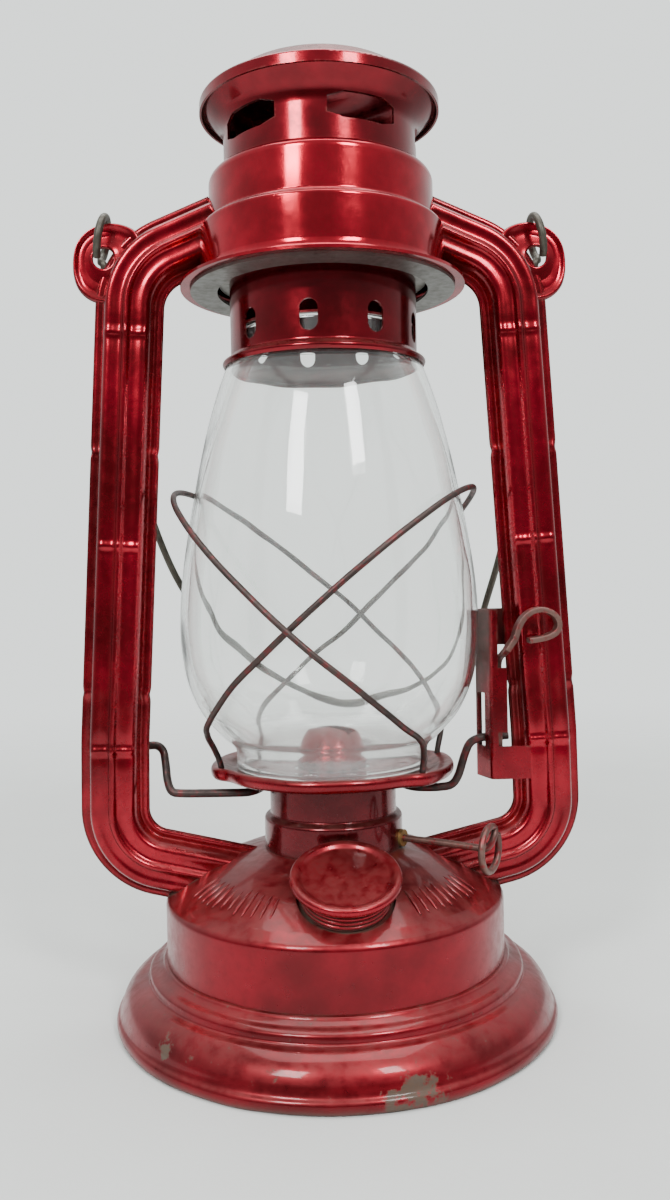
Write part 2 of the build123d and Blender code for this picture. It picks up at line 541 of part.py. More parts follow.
# ---- bail ---------------------------------------------------------------------------------------
eye_drop = BAIL_EYE_R * math.cos(math.radians(BAIL_EYE_TILT))
BAIL_X = EAR_X + 0.3
BAIL_Z = EAR_Z - 0.8 + eye_drop
bail_out = [(-BAIL_X, BAIL_EYE_R), (-BAIL_X, 34.0), (-54.5, 78.0), (-47.0, 105.0), (-31.0, 129.0), (-12.0, 146.0),
            BAIL_CREST, (33.0, 148.5), (49.5, 136.0), (58.0, 98.0), (BAIL_X, 40.0), (BAIL_X, BAIL_EYE_R)]
bail_line = [(x, -away_from_eyes) for x, away_from_eyes in bail_out]
bail_plane = Plane(origin=(0, 0, BAIL_Z), x_dir=(1, 0, 0),
                   z_dir=(0, -math.cos(math.radians(BAIL_HANG)), -math.sin(math.radians(BAIL_HANG))))
bail_path = FilletPolyline(*bail_line, radius=[60.0, 60.0, 40.0, 40.0, 30.0, 8.0, 25.0, 20.0, 45.0, 60.0])
bail = bail_plane * sweep(Plane(origin=bail_path @ 0, z_dir=bail_path % 0) * Circle(BAIL_WIRE_R), path=bail_path)
for side in (1, -1):
    eye = Rot(0, 90 - side * BAIL_EYE_TILT, 0) * Torus(BAIL_EYE_R, BAIL_WIRE_R)
    bail = bail + Pos(side * BAIL_X, 0, BAIL_Z) * eye
parts["bail"] = bail

for name, shape in parts.items():
    solids = shape.solids()
    print(name, len(solids), "solid(s)", round(sum(s.volume for s in solids)), "mm3")
    export_step(shape if len(solids) > 1 else solids[0], f"parts/{name}.step")
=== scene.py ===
# %% [markdown]
# # A red hurricane lantern
# This lesson dresses a small tubular hurricane lantern. The working model, with its exact sizes and
# its joints, is loaded first and never changed. Everything after that is either a finish for one of
# its pieces or a finer piece of pressed tin, wire or glass that stands in the same place.

import json
import math

import bmesh
import bpy
import numpy as np
from mathutils import Matrix, Vector
from mathutils import noise as mathutils_noise


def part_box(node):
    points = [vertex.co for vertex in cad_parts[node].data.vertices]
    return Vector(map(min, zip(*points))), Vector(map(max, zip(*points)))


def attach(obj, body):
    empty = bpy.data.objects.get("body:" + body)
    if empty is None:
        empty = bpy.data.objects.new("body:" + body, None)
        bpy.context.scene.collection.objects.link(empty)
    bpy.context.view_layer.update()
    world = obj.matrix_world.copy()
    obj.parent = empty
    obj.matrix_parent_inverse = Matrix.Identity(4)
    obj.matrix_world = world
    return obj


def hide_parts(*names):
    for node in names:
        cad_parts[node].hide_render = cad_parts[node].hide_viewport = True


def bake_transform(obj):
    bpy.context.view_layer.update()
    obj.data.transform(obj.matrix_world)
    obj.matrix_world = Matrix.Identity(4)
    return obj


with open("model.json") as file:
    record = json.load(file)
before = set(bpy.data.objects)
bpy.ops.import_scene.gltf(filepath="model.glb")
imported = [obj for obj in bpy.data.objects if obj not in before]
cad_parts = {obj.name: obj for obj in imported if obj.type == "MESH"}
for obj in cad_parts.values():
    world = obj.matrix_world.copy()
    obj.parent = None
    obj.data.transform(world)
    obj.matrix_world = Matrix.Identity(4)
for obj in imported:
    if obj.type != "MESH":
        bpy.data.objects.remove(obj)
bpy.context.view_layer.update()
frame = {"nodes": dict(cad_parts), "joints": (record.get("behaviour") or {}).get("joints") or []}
nodes = frame["nodes"]
mm = 0.001


def size_of(node):
    """Lowest and highest corner of a working piece, in millimetres."""
    low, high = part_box(node)
    return low / mm, high / mm


def put(name, data):
    """New object with this data, linked to the scene."""
    made = bpy.data.objects.new(name, data)
    bpy.context.scene.collection.objects.link(made)
    return made


# %% [markdown]
# ## Camera
# The lantern is seen from the front, a little above its middle, from about 30 cm: close enough for the
# base to open into an ellipse below the eye and the canopy into one above it. The camera is tipped down
# less than two degrees and rolled by one, as a camera held in the hand is. The lantern stands turned by
# three degrees, so the camera goes round it by as much.

# %% The camera
EYE = Vector((1.7, -296.0, 125.5)) * mm
TIP_DOWN = math.radians(1.62)
ROLL = math.radians(1.17)
TURNED = math.radians(3.0)
SENSOR, LENS = 36.0, 31.071

camera_data = bpy.data.cameras.new("camera")
camera_data.sensor_width = SENSOR
camera_data.lens = LENS
camera_data.clip_start = 0.01
camera = put("camera", camera_data)
look = Matrix.Rotation(math.pi / 2 - TIP_DOWN, 4, "X") @ Matrix.Rotation(-ROLL, 4, "Z")
camera.matrix_world = Matrix.Rotation(-TURNED, 4, "Z") @ Matrix.Translation(EYE) @ look
bpy.context.scene.camera = camera
print("camera lens", round(camera_data.lens, 2))

# %% [markdown]
# ## Floor and light
# Lacquer over bright tin is mostly reflection, so the light is what draws it. Two soft boxes in front
# give the long highlights down the tubes and the drum, and a wide one overhead lights the shoulders.
# The sky is dim in front of the lantern, so that the flutes and hollows turn a deep red, and brighter
# behind and above it. The floor fades out some way off, so no edge shows between it and the backdrop.

# %% The floor
FLOOR_SIDE = 6.0
FLOOR_FADE = (0.16, 0.75)


def pale_floor():
    mesh = bpy.data.meshes.new("floor")
    half = FLOOR_SIDE / 2
    corners = [(-half, -half, 0), (half, -half, 0), (half, half, 0), (-half, half, 0)]
    mesh.from_pydata(corners, [], [(0, 1, 2, 3)])
    return put("floor", mesh)


floor = pale_floor()
print("floor", FLOOR_SIDE, "m wide")

# %% The lights


def soft_box(name, place, aim, width, height, watts):
    """Rectangular area light at a place, facing a point. Lengths in metres."""
    data = bpy.data.lights.new(name, "AREA")
    data.shape = "RECTANGLE"
    data.size, data.size_y = width, height
    data.energy = watts
    lamp = put(name, data)
    lamp.location = place
    lamp.rotation_euler = (Vector(aim) - Vector(place)).to_track_quat("-Z", "Y").to_euler()
    lamp.visible_camera = False
    print(name, watts, "W")


MIDDLE = (0.0, 0.0, 0.13)
soft_box("overhead", (0.0, 0.1, 1.5), MIDDLE, 1.3, 1.1, 24)
soft_box("front_left", (-0.55, -0.95, 0.85), MIDDLE, 0.28, 0.42, 14)
soft_box("front_right", (0.50, -1.0, 0.95), MIDDLE, 0.26, 0.42, 13)

# %% Helpers for every node tree


def feed(tree, socket, value):
    """Sets an input to a number or a colour, or links it to an output or to a node's first output."""
    if isinstance(value, bpy.types.Node):
        value = value.outputs[0]
    if isinstance(value, bpy.types.NodeSocket):
        tree.links.new(value, socket)
    else:
        socket.default_value = value


def add(tree, kind, inputs=None, **settings):
    """Adds a node with its settings, then feeds its inputs."""
    made = tree.nodes.new(kind)
    for key, value in settings.items():
        setattr(made, key, value)
    for key, value in (inputs or {}).items():
        feed(tree, made.inputs[key], value)
    return made


def calc(tree, operation, a, b=0.0, clamp=False):
    return add(tree, "ShaderNodeMath", {0: a, 1: b}, operation=operation, use_clamp=clamp).outputs[0]


# %% The sky: pale to the camera, dim in front of the lantern, brighter behind and above
SKY_TINT = (0.94, 0.985, 0.97, 1.0)
SKY_SEEN = 1.62
SKY_IN_FRONT, SKY_BEHIND = 0.10, 0.70
SKY_ABOVE = 0.42


def paint_sky(tree):
    tree.nodes.clear()
    way = add(tree, "ShaderNodeTexCoord").outputs["Generated"]
    split = add(tree, "ShaderNodeSeparateXYZ", {0: way})
    level = add(tree, "ShaderNodeMapRange", {
        "Value": split.outputs["Y"], "From Min": -1.0, "From Max": 0.5,
        "To Min": SKY_IN_FRONT, "To Max": SKY_BEHIND})
    above = add(tree, "ShaderNodeMapRange", {
        "Value": split.outputs["Z"], "From Min": 0.14, "From Max": 0.42, "To Max": SKY_ABOVE})
    around = calc(tree, "ADD", level.outputs["Result"], above.outputs["Result"])
    ray = add(tree, "ShaderNodeLightPath").outputs
    seen = calc(tree, "MAXIMUM", ray["Is Camera Ray"], ray["Is Transmission Ray"])
    bright = add(tree, "ShaderNodeMix", {"Factor": seen, "A": around, "B": SKY_SEEN}).outputs["Result"]
    glow = add(tree, "ShaderNodeBackground", {"Color": SKY_TINT, "Strength": bright})
    add(tree, "ShaderNodeOutputWorld", {0: glow})


sky = bpy.data.worlds.new("sky")
bpy.context.scene.world = sky
sky.use_nodes = True
paint_sky(sky.node_tree)
print("sky", len(sky.node_tree.nodes), "nodes")

# %% [markdown]
# ## Finishes
# Every finish is mixed from noise in the piece's own coordinates, so it needs no picture and stays put
# when the piece moves. Three masks do most of the work: dust settles where the surface looks up,
# lacquer rubs off where it folds sharply, and painted shade, which also stands for grime, darkens the
# surface where it is hemmed in, in corners and between parts.

# %% Helpers for finishes


def noise(tree, place, size, detail=4.0, rough=0.55, stretch=None):
    """Cloudy pattern whose blotches are about size millimetres across."""
    if stretch:
        place = add(tree, "ShaderNodeMapping", {"Vector": place, "Scale": stretch}).outputs[0]
    return add(tree, "ShaderNodeTexNoise", {
        "Vector": place, "Scale": 1.0 / (size * mm), "Detail": detail, "Roughness": rough}).outputs["Fac"]


def step(tree, value, low, high, to_low=0.0, to_high=1.0):
    """Smooth step from to_low at low to to_high at high."""
    return add(tree, "ShaderNodeMapRange", {
        "Value": value, "From Min": low, "From Max": high, "To Min": to_low, "To Max": to_high},
        interpolation_type="SMOOTHSTEP").outputs["Result"]


def blend(tree, factor, a, b):
    """Mixes two colours."""
    return add(tree, "ShaderNodeMix", {0: factor, 6: a, 7: b}, data_type="RGBA").outputs[2]


def rgb(r, g, b):
    return (r, g, b, 1.0)


def near(tree, place, centre, inner, outer):
    """1 within inner millimetres of a point, falling to 0 at outer."""
    gap = add(tree, "ShaderNodeVectorMath", {0: place, 1: Vector(centre) * mm}, operation="DISTANCE")
    return step(tree, gap.outputs["Value"], inner * mm, outer * mm, 1.0, 0.0)


def blank(name):
    """New material, its tree, its shader and the piece's own coordinates."""
    material = bpy.data.materials.new(name)
    material.use_nodes = True
    material.node_tree.nodes.clear()
    tree = material.node_tree
    out = add(tree, "ShaderNodeOutputMaterial")
    shader = add(tree, "ShaderNodeBsdfPrincipled")
    tree.links.new(shader.outputs[0], out.inputs["Surface"])
    return material, tree, shader, add(tree, "ShaderNodeTexCoord").outputs["Object"]


def connect(tree, shader, **sockets):
    for key, value in sockets.items():
        feed(tree, shader.inputs[key.replace("_", " ")], value)


def bump(tree, height, distance, strength=1.0):
    """Bump from a 0 to 1 height, distance millimetres deep."""
    return add(tree, "ShaderNodeBump", {
        "Height": height, "Distance": distance * mm, "Strength": strength}).outputs["Normal"]


def looks_up(tree):
    """1 where the surface faces up, 0 where it is steep or faces down."""
    normal = add(tree, "ShaderNodeTexCoord").outputs["Normal"]
    up = add(tree, "ShaderNodeSeparateXYZ", {0: normal}).outputs["Z"]
    return step(tree, up, 0.15, 0.95)


def occlusion_shade(tree, reach):
    """1 far into a corner, 0 in the open: an ambient occlusion mask, used to paint shade into corners."""
    open_sky = add(tree, "ShaderNodeAmbientOcclusion", {"Distance": reach * mm}, samples=8)
    return calc(tree, "SUBTRACT", 1.0, open_sky.outputs["AO"])


def folded(tree, radius):
    """1 on a sharp edge, 0 on a flat."""
    soft = add(tree, "ShaderNodeBevel", {"Radius": radius * mm}, samples=4).outputs[0]
    hard = add(tree, "ShaderNodeNewGeometry").outputs["Normal"]
    same = add(tree, "ShaderNodeVectorMath", {0: soft, 1: hard}, operation="DOT_PRODUCT").outputs["Value"]
    return step(tree, same, 0.99, 0.72)


def times(tree, a, b, clamp=False):
    return calc(tree, "MULTIPLY", a, b, clamp)


# %% Red lacquer over bright tin
CRIMSON_DEEP = rgb(0.140, 0.0016, 0.006)
CRIMSON = rgb(0.290, 0.004, 0.015)
DUST = rgb(0.135, 0.060, 0.046)
# This dark brown is the colour of rust specks on worn tin, and also of the painted shade laid into
# corners.
GRIME_AND_SHADE = rgb(0.060, 0.038, 0.026)
WORN_TIN = rgb(0.070, 0.038, 0.022)


def lacquer(name, dust=0.5, wear=0.5, shade_and_grime=0.6, bare=(), tone_and_painted_light=1.0, dull=0.27):
    """Candy red lacquer whose reds are scaled by one setting, darker below 1 and brighter above it, where
    it is painted light. bare lists worn patches as (centre, radius in mm).
    """
    material, tree, shader, place = blank(name)
    clouds = noise(tree, place, 26, 5)
    mottle = noise(tree, place, 3.2, 6, 0.62)
    specks = noise(tree, place, 0.7, 4, 0.7)
    # The two reds are scaled here. Above 1 the scale is painted light: the canopy's red is made brighter
    # so that the drum looks lit.
    dark, light = (tuple(v * tone_and_painted_light for v in red[:3]) + (1.0,) for red in (CRIMSON_DEEP, CRIMSON))
    red = blend(tree, step(tree, clouds, 0.35, 0.65), dark, light)
    red = blend(tree, step(tree, mottle, 0.45, 0.75, 0.0, 0.35), red, dark)

    settled = times(tree, looks_up(tree), step(tree, mottle, 0.30, 0.62, 0.35, 1.0))
    settled = times(tree, settled, step(tree, clouds, 0.25, 0.6, 0.5, 1.0))
    settled = times(tree, settled, dust, clamp=True)
    # Painted shade: where ambient occlusion finds the surface hemmed in, in corners and between parts, the
    # red is darkened; the same darkening stands for grime.
    corner = times(tree, step(tree, occlusion_shade(tree, 7.0), 0.28, 0.72), shade_and_grime)
    corner = times(tree, corner, step(tree, mottle, 0.25, 0.6, 0.5, 1.0), clamp=True)
    rubbed = times(tree, folded(tree, 0.9), step(tree, mottle, 0.42, 0.62))
    rubbed = times(tree, rubbed, wear)
    chips = times(tree, step(tree, specks, 0.70, 0.76), step(tree, clouds, 0.5, 0.7))
    rubbed = calc(tree, "MAXIMUM", rubbed, times(tree, chips, wear))
    for centre, radius in bare:
        patch = near(tree, place, centre, 0.0, radius)
        ragged = calc(tree, "ADD", patch, times(tree, calc(tree, "SUBTRACT", mottle, 0.5), 3.0))
        rubbed = calc(tree, "MAXIMUM", rubbed, step(tree, ragged, 0.42, 0.80))

    color = blend(tree, settled, red, DUST)
    color = blend(tree, corner, color, GRIME_AND_SHADE)
    rust = blend(tree, step(tree, specks, 0.35, 0.65), WORN_TIN, GRIME_AND_SHADE)
    color = blend(tree, rubbed, color, rust)
    # Dust and the painted corner shade also take away metal and add roughness.
    dust_and_corner_shade = calc(tree, "MAXIMUM", settled, corner)
    metal = calc(tree, "SUBTRACT", 0.86, times(tree, dust_and_corner_shade, 0.8))
    metal = calc(tree, "SUBTRACT", metal, times(tree, rubbed, 0.7), clamp=True)
    gloss = step(tree, mottle, 0.3, 0.7, dull * 0.8, dull * 1.2)
    gloss = calc(tree, "ADD", gloss, times(tree, dust_and_corner_shade, 0.42))
    gloss = calc(tree, "ADD", gloss, times(tree, rubbed, 0.35), clamp=True)
    ripple = calc(tree, "ADD", noise(tree, place, 14, 1), times(tree, specks, 0.035))
    ripple = calc(tree, "SUBTRACT", ripple, times(tree, rubbed, 0.06))
    connect(tree, shader, Base_Color=color, Metallic=metal, Roughness=gloss, Coat_Weight=0.3,
            Coat_Roughness=0.08, Normal=bump(tree, ripple, 0.55, 0.4))
    return material


# %% Bare metals


def bare_metal(name, base, dark, metallic=0.85, rough=0.42, stain=0.5, tint=None):
    """Plain metal with stains, and painted shade darkening its corners. tint is the colour of what is left
    of a finish, if any.
    """
    material, tree, shader, place = blank(name)
    clouds = noise(tree, place, 14, 5)
    mottle = noise(tree, place, 2.2, 6, 0.65)
    specks = noise(tree, place, 0.6, 3, 0.7)
    color = blend(tree, step(tree, clouds, 0.42, 0.66, 0.0, stain), base, dark)
    color = blend(tree, step(tree, mottle, 0.55, 0.75, 0.0, stain), color, dark)
    if tint:
        color = blend(tree, step(tree, mottle, 0.38, 0.50, 0.75, 0.0), color, tint)
    # Painted shade: corners found by ambient occlusion are darkened, which also stands for grime.
    shade_and_grime = times(tree, step(tree, occlusion_shade(tree, 4.0), 0.4, 0.9), 0.7)
    color = blend(tree, shade_and_grime, color, GRIME_AND_SHADE)
    metal = calc(tree, "SUBTRACT", metallic, times(tree, shade_and_grime, 0.6), clamp=True)
    gloss = step(tree, mottle, 0.3, 0.75, rough - 0.08, rough + 0.18)
    height = calc(tree, "ADD", times(tree, mottle, 0.5), times(tree, specks, 0.2))
    connect(tree, shader, Base_Color=color, Metallic=metal, Roughness=gloss,
            Normal=bump(tree, height, 0.12, 0.6))
    return material


# %% Glass
DIRT_FADES, DIRT_BOTTOM = 0.095, 0.074


def dusty_glass(name):
    """Clear pressed glass under a thin uneven film of dust, dirtier down by the plate."""
    material, tree, shader, place = blank(name)
    film = noise(tree, place, 17, 5, 0.6, stretch=(1.0, 1.0, 0.35))
    specks = noise(tree, place, 1.1, 4, 0.75)
    dots = step(tree, specks, 0.70, 0.78, 0.0, 0.55)
    height = add(tree, "ShaderNodeSeparateXYZ", {0: place}).outputs["Z"]
    low_dirt = step(tree, height, DIRT_FADES, DIRT_BOTTOM, 0.0, 0.12)
    dirt = calc(tree, "ADD", step(tree, film, 0.4, 0.72, 0.015, 0.07), dots)
    dirt = calc(tree, "ADD", dirt, low_dirt, clamp=True)
    clear = calc(tree, "SUBTRACT", 1.0, times(tree, dirt, 0.8))
    waves = noise(tree, place, 22, 2, 0.4, stretch=(1.0, 1.0, 0.4))
    connect(tree, shader, Base_Color=blend(tree, dots, rgb(0.97, 0.98, 0.97), rgb(0.55, 0.48, 0.38)),
            Transmission_Weight=clear, Roughness=step(tree, dirt, 0.0, 0.5, 0.015, 0.3), IOR=1.48,
            Normal=bump(tree, waves, 0.5, 0.25))
    return material


# %% Cotton and rubber
WICK_CLEAN, WICK_BURNT = 0.0742, 0.0762


def woven_cotton(name):
    """Flat woven wick, burnt black at its top."""
    material, tree, shader, place = blank(name)
    warp, weft = (add(tree, "ShaderNodeTexWave", {"Vector": place, "Scale": 420.0, "Distortion": 1.0},
                      bands_direction=way).outputs["Fac"] for way in "XZ")
    weave = times(tree, warp, weft)
    height = add(tree, "ShaderNodeSeparateXYZ", {0: place}).outputs["Z"]
    burnt = step(tree, height, WICK_CLEAN, WICK_BURNT)
    color = blend(tree, weave, rgb(0.50, 0.46, 0.36), rgb(0.74, 0.70, 0.60))
    color = blend(tree, burnt, color, rgb(0.02, 0.017, 0.014))
    connect(tree, shader, Base_Color=color, Roughness=0.92, Normal=bump(tree, weave, 0.25))
    return material


def black_rubber(name):
    material, tree, shader, place = blank(name)
    grain = noise(tree, place, 0.5, 4, 0.6)
    connect(tree, shader, Base_Color=blend(tree, grain, rgb(0.015, 0.014, 0.013), rgb(0.05, 0.046, 0.04)),
            Roughness=step(tree, grain, 0.3, 0.7, 0.55, 0.8), Normal=bump(tree, grain, 0.05))
    return material


# %% The floor's paper


def floor_paper(name):
    """Matt pale floor with faint clouding, which fades into the backdrop some way behind the lantern."""
    material, tree, shader, place = blank(name)
    clouds = noise(tree, place, 60, 4)
    away = add(tree, "ShaderNodeVectorMath", {0: place}, operation="LENGTH").outputs["Value"]
    connect(tree, shader, Base_Color=blend(tree, clouds, rgb(0.56, 0.575, 0.56), rgb(0.63, 0.645, 0.63)),
            Roughness=0.75, Alpha=step(tree, away, FLOOR_FADE[0], FLOOR_FADE[1], 1.0, 0.0),
            Normal=bump(tree, noise(tree, place, 2.5, 5), 0.15, 0.5))
    return material


# %% The finishes this lantern needs
SKIRT_BARE = [((17, -60, 5), 9), ((9, -62, 3), 6), ((-46, -41, 9), 7), ((12, -62, 0), 7),
              ((48, -30, 14), 4)]
# Among the lacquers, the canopy's red is scaled up 1.7 times as painted light, so that the drum looks lit;
# the tank, skirt, crown and collar are darker reds. The corner setting is the strength of the painted
# shade in corners, which also stands for grime.
FINISH = {
    "tank": lacquer("lacquer_tank", dust=0.3, wear=0.5, shade_and_grime=1.0, tone_and_painted_light=0.85, dull=0.33),
    "skirt": lacquer("lacquer_skirt", dust=0.25, wear=0.7, shade_and_grime=0.7, tone_and_painted_light=0.8, dull=0.33,
                     bare=SKIRT_BARE),
    "tube": lacquer("lacquer_tube", dust=0.3, wear=0.5, shade_and_grime=0.35, tone_and_painted_light=1.2, dull=0.25),
    "canopy": lacquer("lacquer_canopy", dust=0.12, wear=0.35, shade_and_grime=0.5, tone_and_painted_light=1.7, dull=0.14),
    "crown": lacquer("lacquer_crown", dust=0.5, wear=0.5, shade_and_grime=0.6, tone_and_painted_light=0.9, dull=0.2),
    "collar": lacquer("lacquer_collar", dust=0.45, wear=0.4, shade_and_grime=1.0, tone_and_painted_light=0.45),
    "cap": lacquer("lacquer_filler_cap", dust=0.35, wear=0.5, shade_and_grime=1.0),
    "small": lacquer("lacquer_small_parts", dust=0.5, wear=0.9, shade_and_grime=0.8),
    "wire": bare_metal("dark_wire", rgb(0.055, 0.036, 0.032), rgb(0.02, 0.013, 0.012), 0.5, 0.45, 0.7,
                       tint=rgb(0.13, 0.016, 0.018)),
    "bail": bare_metal("bail_steel", rgb(0.095, 0.088, 0.070), rgb(0.04, 0.034, 0.026), 0.6, 0.45, 0.7),
    "lever": bare_metal("worn_lever", rgb(0.17, 0.095, 0.080), rgb(0.07, 0.03, 0.028), 0.7, 0.42, 0.6,
                        tint=rgb(0.22, 0.012, 0.02)),
    "tin": bare_metal("bare_tinplate", rgb(0.22, 0.215, 0.20), rgb(0.09, 0.08, 0.07), 0.8, 0.40, 0.45),
    "brass": bare_metal("dull_brass", rgb(0.40, 0.27, 0.10), rgb(0.12, 0.08, 0.04), 0.85, 0.40, 0.6),
    "spring": bare_metal("spring_steel", rgb(0.32, 0.31, 0.29), rgb(0.12, 0.10, 0.08), 0.85, 0.38, 0.5),
    "glass": dusty_glass("clear_glass"),
    "cotton": woven_cotton("wick_cotton"),
    "rubber": black_rubber("gasket_rubber"),
    "paper": floor_paper("floor_paper"),
}
print("finishes:", len(FINISH))

# %% Finishes on the working pieces
WEARS = {
    "tank": ["fount_shell", "filler_neck"],
    "skirt": ["base_skirt"],
    "tube": ["left_tube_front", "left_tube_rear", "right_tube_front", "right_tube_rear"],
    "canopy": ["canopy_drum"],
    "crown": ["hood", "chimney", "chimney_cap"],
    "collar": ["burner_collar", "filler_cap"],
    "small": ["globe_plate", "lift_bracket", "burner_cone", "lift_clip"],
    "wire": ["guard_wire_left", "guard_wire_right", "lift_wire"],
    "bail": ["bail"],
    "lever": ["lift_lever", "winder_shaft"],
    "tin": ["canopy_floor", "chimney_baffle", "fount_floor"],
    "brass": ["burner_base", "burner_gallery", "wick_tube", "winder_bush", "wick_wheel"],
    "spring": ["hood_spring", "spring_retainer"],
    "glass": ["globe"],
    "cotton": ["wick"],
    "rubber": ["filler_gasket"],
}


def dress(piece, finish):
    piece.data.materials.clear()
    piece.data.materials.append(FINISH[finish])


for finish, names in WEARS.items():
    for name in names:
        dress(nodes[name], finish)
dress(floor, "paper")
print("dressed", sum(map(len, WEARS.values())), "working pieces")

# %% [markdown]
# ## Side tubes
# Each side tube is two long stampings, front and rear, laid face to face. A stamping has a raised
# middle ridge with a shallow flute on each side, steep walls, and flat flanges that are folded over
# each other. Three beads cross it, where the tube would otherwise buckle, and an ear for the bail is
# stamped with it at the upper bend. A sheet like that is a height over a flat plan, so each half is
# made as a grid, one way along the tube's line and the other across it, and is then given its thickness.

# %% A line of straight runs and round bends


def bent_line(points, radii, spacing):
    """Points about spacing apart along a flat polyline with rounded corners, and the directions there."""
    points = [np.array(p, float) for p in points]
    runs, start = [], points[0]
    for before, corner, after, radius in zip(points, points[1:], points[2:], radii):
        way_in = (corner - before) / np.linalg.norm(corner - before)
        way_out = (after - corner) / np.linalg.norm(after - corner)
        turn = math.acos(max(-1.0, min(1.0, float(way_in @ way_out))))
        reach = radius * math.tan(turn / 2)
        first, last = corner - way_in * reach, corner + way_out * reach
        side = np.array([-way_in[1], way_in[0]])
        side = side if float(side @ way_out) > 0 else -side
        centre = first + side * radius
        runs.append(("line", start, first))
        runs.append(("arc", centre, first - centre, way_in, radius, turn))
        start = last
    runs.append(("line", start, points[-1]))
    places, ways = [], []
    for run in runs:
        if run[0] == "line":
            length = np.linalg.norm(run[2] - run[1])
            way = (run[2] - run[1]) / max(length, 1e-9)
            count = max(1, round(length / spacing))
            for k in range(count):
                places.append(run[1] + way * length * k / count)
                ways.append(way)
        else:
            _, centre, arm, way_in, radius, turn = run
            count = max(4, round(radius * turn / spacing))
            for k in range(count):
                angle = turn * k / count
                places.append(centre + arm * math.cos(angle) + way_in * radius * math.sin(angle))
                ways.append(way_in * math.cos(angle) - arm / radius * math.sin(angle))
    places.append(points[-1])
    ways.append(ways[-1])
    return np.array(places), np.array(ways)


def smooth_curve(points, count):
    """count points on a smooth curve through the given ones, evenly spread."""
    points = np.array(points, float)
    fine = []
    for k in range(len(points) - 1):
        p1, p2 = points[k], points[k + 1]
        p0 = points[k - 1] if k else 2 * p1 - p2
        p3 = points[k + 2] if k + 2 < len(points) else 2 * p2 - p1
        for u in np.linspace(0, 1, 12, endpoint=False):
            fine.append(0.5 * (2 * p1 + (p2 - p0) * u + (2 * p0 - 5 * p1 + 4 * p2 - p3) * u ** 2
                               + (3 * p1 - p0 - 3 * p2 + p3) * u ** 3))
    fine.append(points[-1])
    fine = np.array(fine)
    along = np.concatenate([[0.0], np.cumsum(np.linalg.norm(np.diff(fine, axis=0), axis=1))])
    spots = np.linspace(0, along[-1], count)
    return np.column_stack([np.interp(spots, along, fine[:, k]) for k in range(points.shape[1])])


# %% Sheets made from grids


def grid_faces(rows, columns, first=0, around=False):
    """Quads of a grid of points stored row by row."""
    wide = columns if around else columns - 1
    return [(first + r * columns + c, first + r * columns + (c + 1) % columns,
             first + (r + 1) * columns + (c + 1) % columns, first + (r + 1) * columns + c)
            for r in range(rows - 1) for c in range(wide)]


def smoothed(piece, finish):
    """The piece, shaded smooth and in its finish."""
    for face in piece.data.polygons:
        face.use_smooth = True
    dress(piece, finish)
    return piece


def piece_from(name, points, faces, finish):
    """Mesh object from points in millimetres."""
    mesh = bpy.data.meshes.new(name)
    mesh.from_pydata([tuple(p * mm) for p in np.asarray(points, float)], [], faces)
    mesh.validate()
    return smoothed(put(name, mesh), finish)


def thicken(piece, wall, offset=-1.0, edge=0.0):
    """Gives a sheet its wall. offset -1 lays it behind the sheet's face."""
    solid = piece.modifiers.new("wall", "SOLIDIFY")
    solid.thickness = wall * mm
    solid.offset = offset
    solid.use_even_offset = False
    if edge:
        soft = piece.modifiers.new("edge", "BEVEL")
        soft.width = edge * mm
        soft.segments = 2
        soft.limit_method = "ANGLE"
        soft.angle_limit = math.radians(50)


def wobble(place, size, seed=0.0):
    """Smooth -1 to 1 unevenness over lengths of about size millimetres."""
    from_place = Vector((place[0] / size + seed, place[1] / size, place[2] / size - seed))
    return mathutils_noise.noise(from_place)


def hill(value, centre, width):
    return np.exp(-((value - centre) / width) ** 2)


# %% The stamped section and its beads
TUBE_LINE = [(28.0, 222.6), (53.7, 211.5), (61.6, 78.0), (62.2, 46.5), (22.0, 37.0)]
TUBE_END_R = 31.0
STAMPING_WALL = 0.45
TUBE_BENDS = [18.0, 150.0, 16.0]
BEAD_HEIGHTS = (192.5, 133.5, 76.5)
CRIMP_HEIGHTS = (159.5, 92.0)
BEAD_RISE, BEAD_FLAT = 0.62, 0.28
CRIMP_RISE, CRIMP_NARROWS = 0.35, 0.035
FRONT_FOLD, REAR_FOLD = 0.65, 0.2
UPRIGHT_FROM = 48.0
EAR = (61.2, 214.1)
EAR_HOLE_R = 3.1
FLANGE = [(9.05, -0.55), (9.25, -0.1), (9.2, 0.55), (8.95, 0.95), (8.4, 1.05), (7.6, 0.85), (7.05, 0.85)]
WALL = [(6.8, 1.9), (6.6, 3.5), (6.15, 5.0), (5.4, 5.95)]
FLUTE = [(4.2, 6.15), (3.0, 5.95), (1.8, 5.95), (1.1, 6.25), (0.6, 6.85), (0.0, 7.15)]
SECTION = smooth_curve(FLANGE + WALL + FLUTE, 44)
SECTION = np.vstack([SECTION * (-1, 1), SECTION[-2::-1]])


def turn_faces(piece, face):
    """Turns every face of an open sheet to its inner side, which its wall then grows away from."""
    sheet = bmesh.new()
    sheet.from_mesh(piece.data)
    for part in sheet.faces:
        if part.normal.y * face > 0:
            part.normal_flip()
    sheet.to_mesh(piece.data)
    sheet.free()


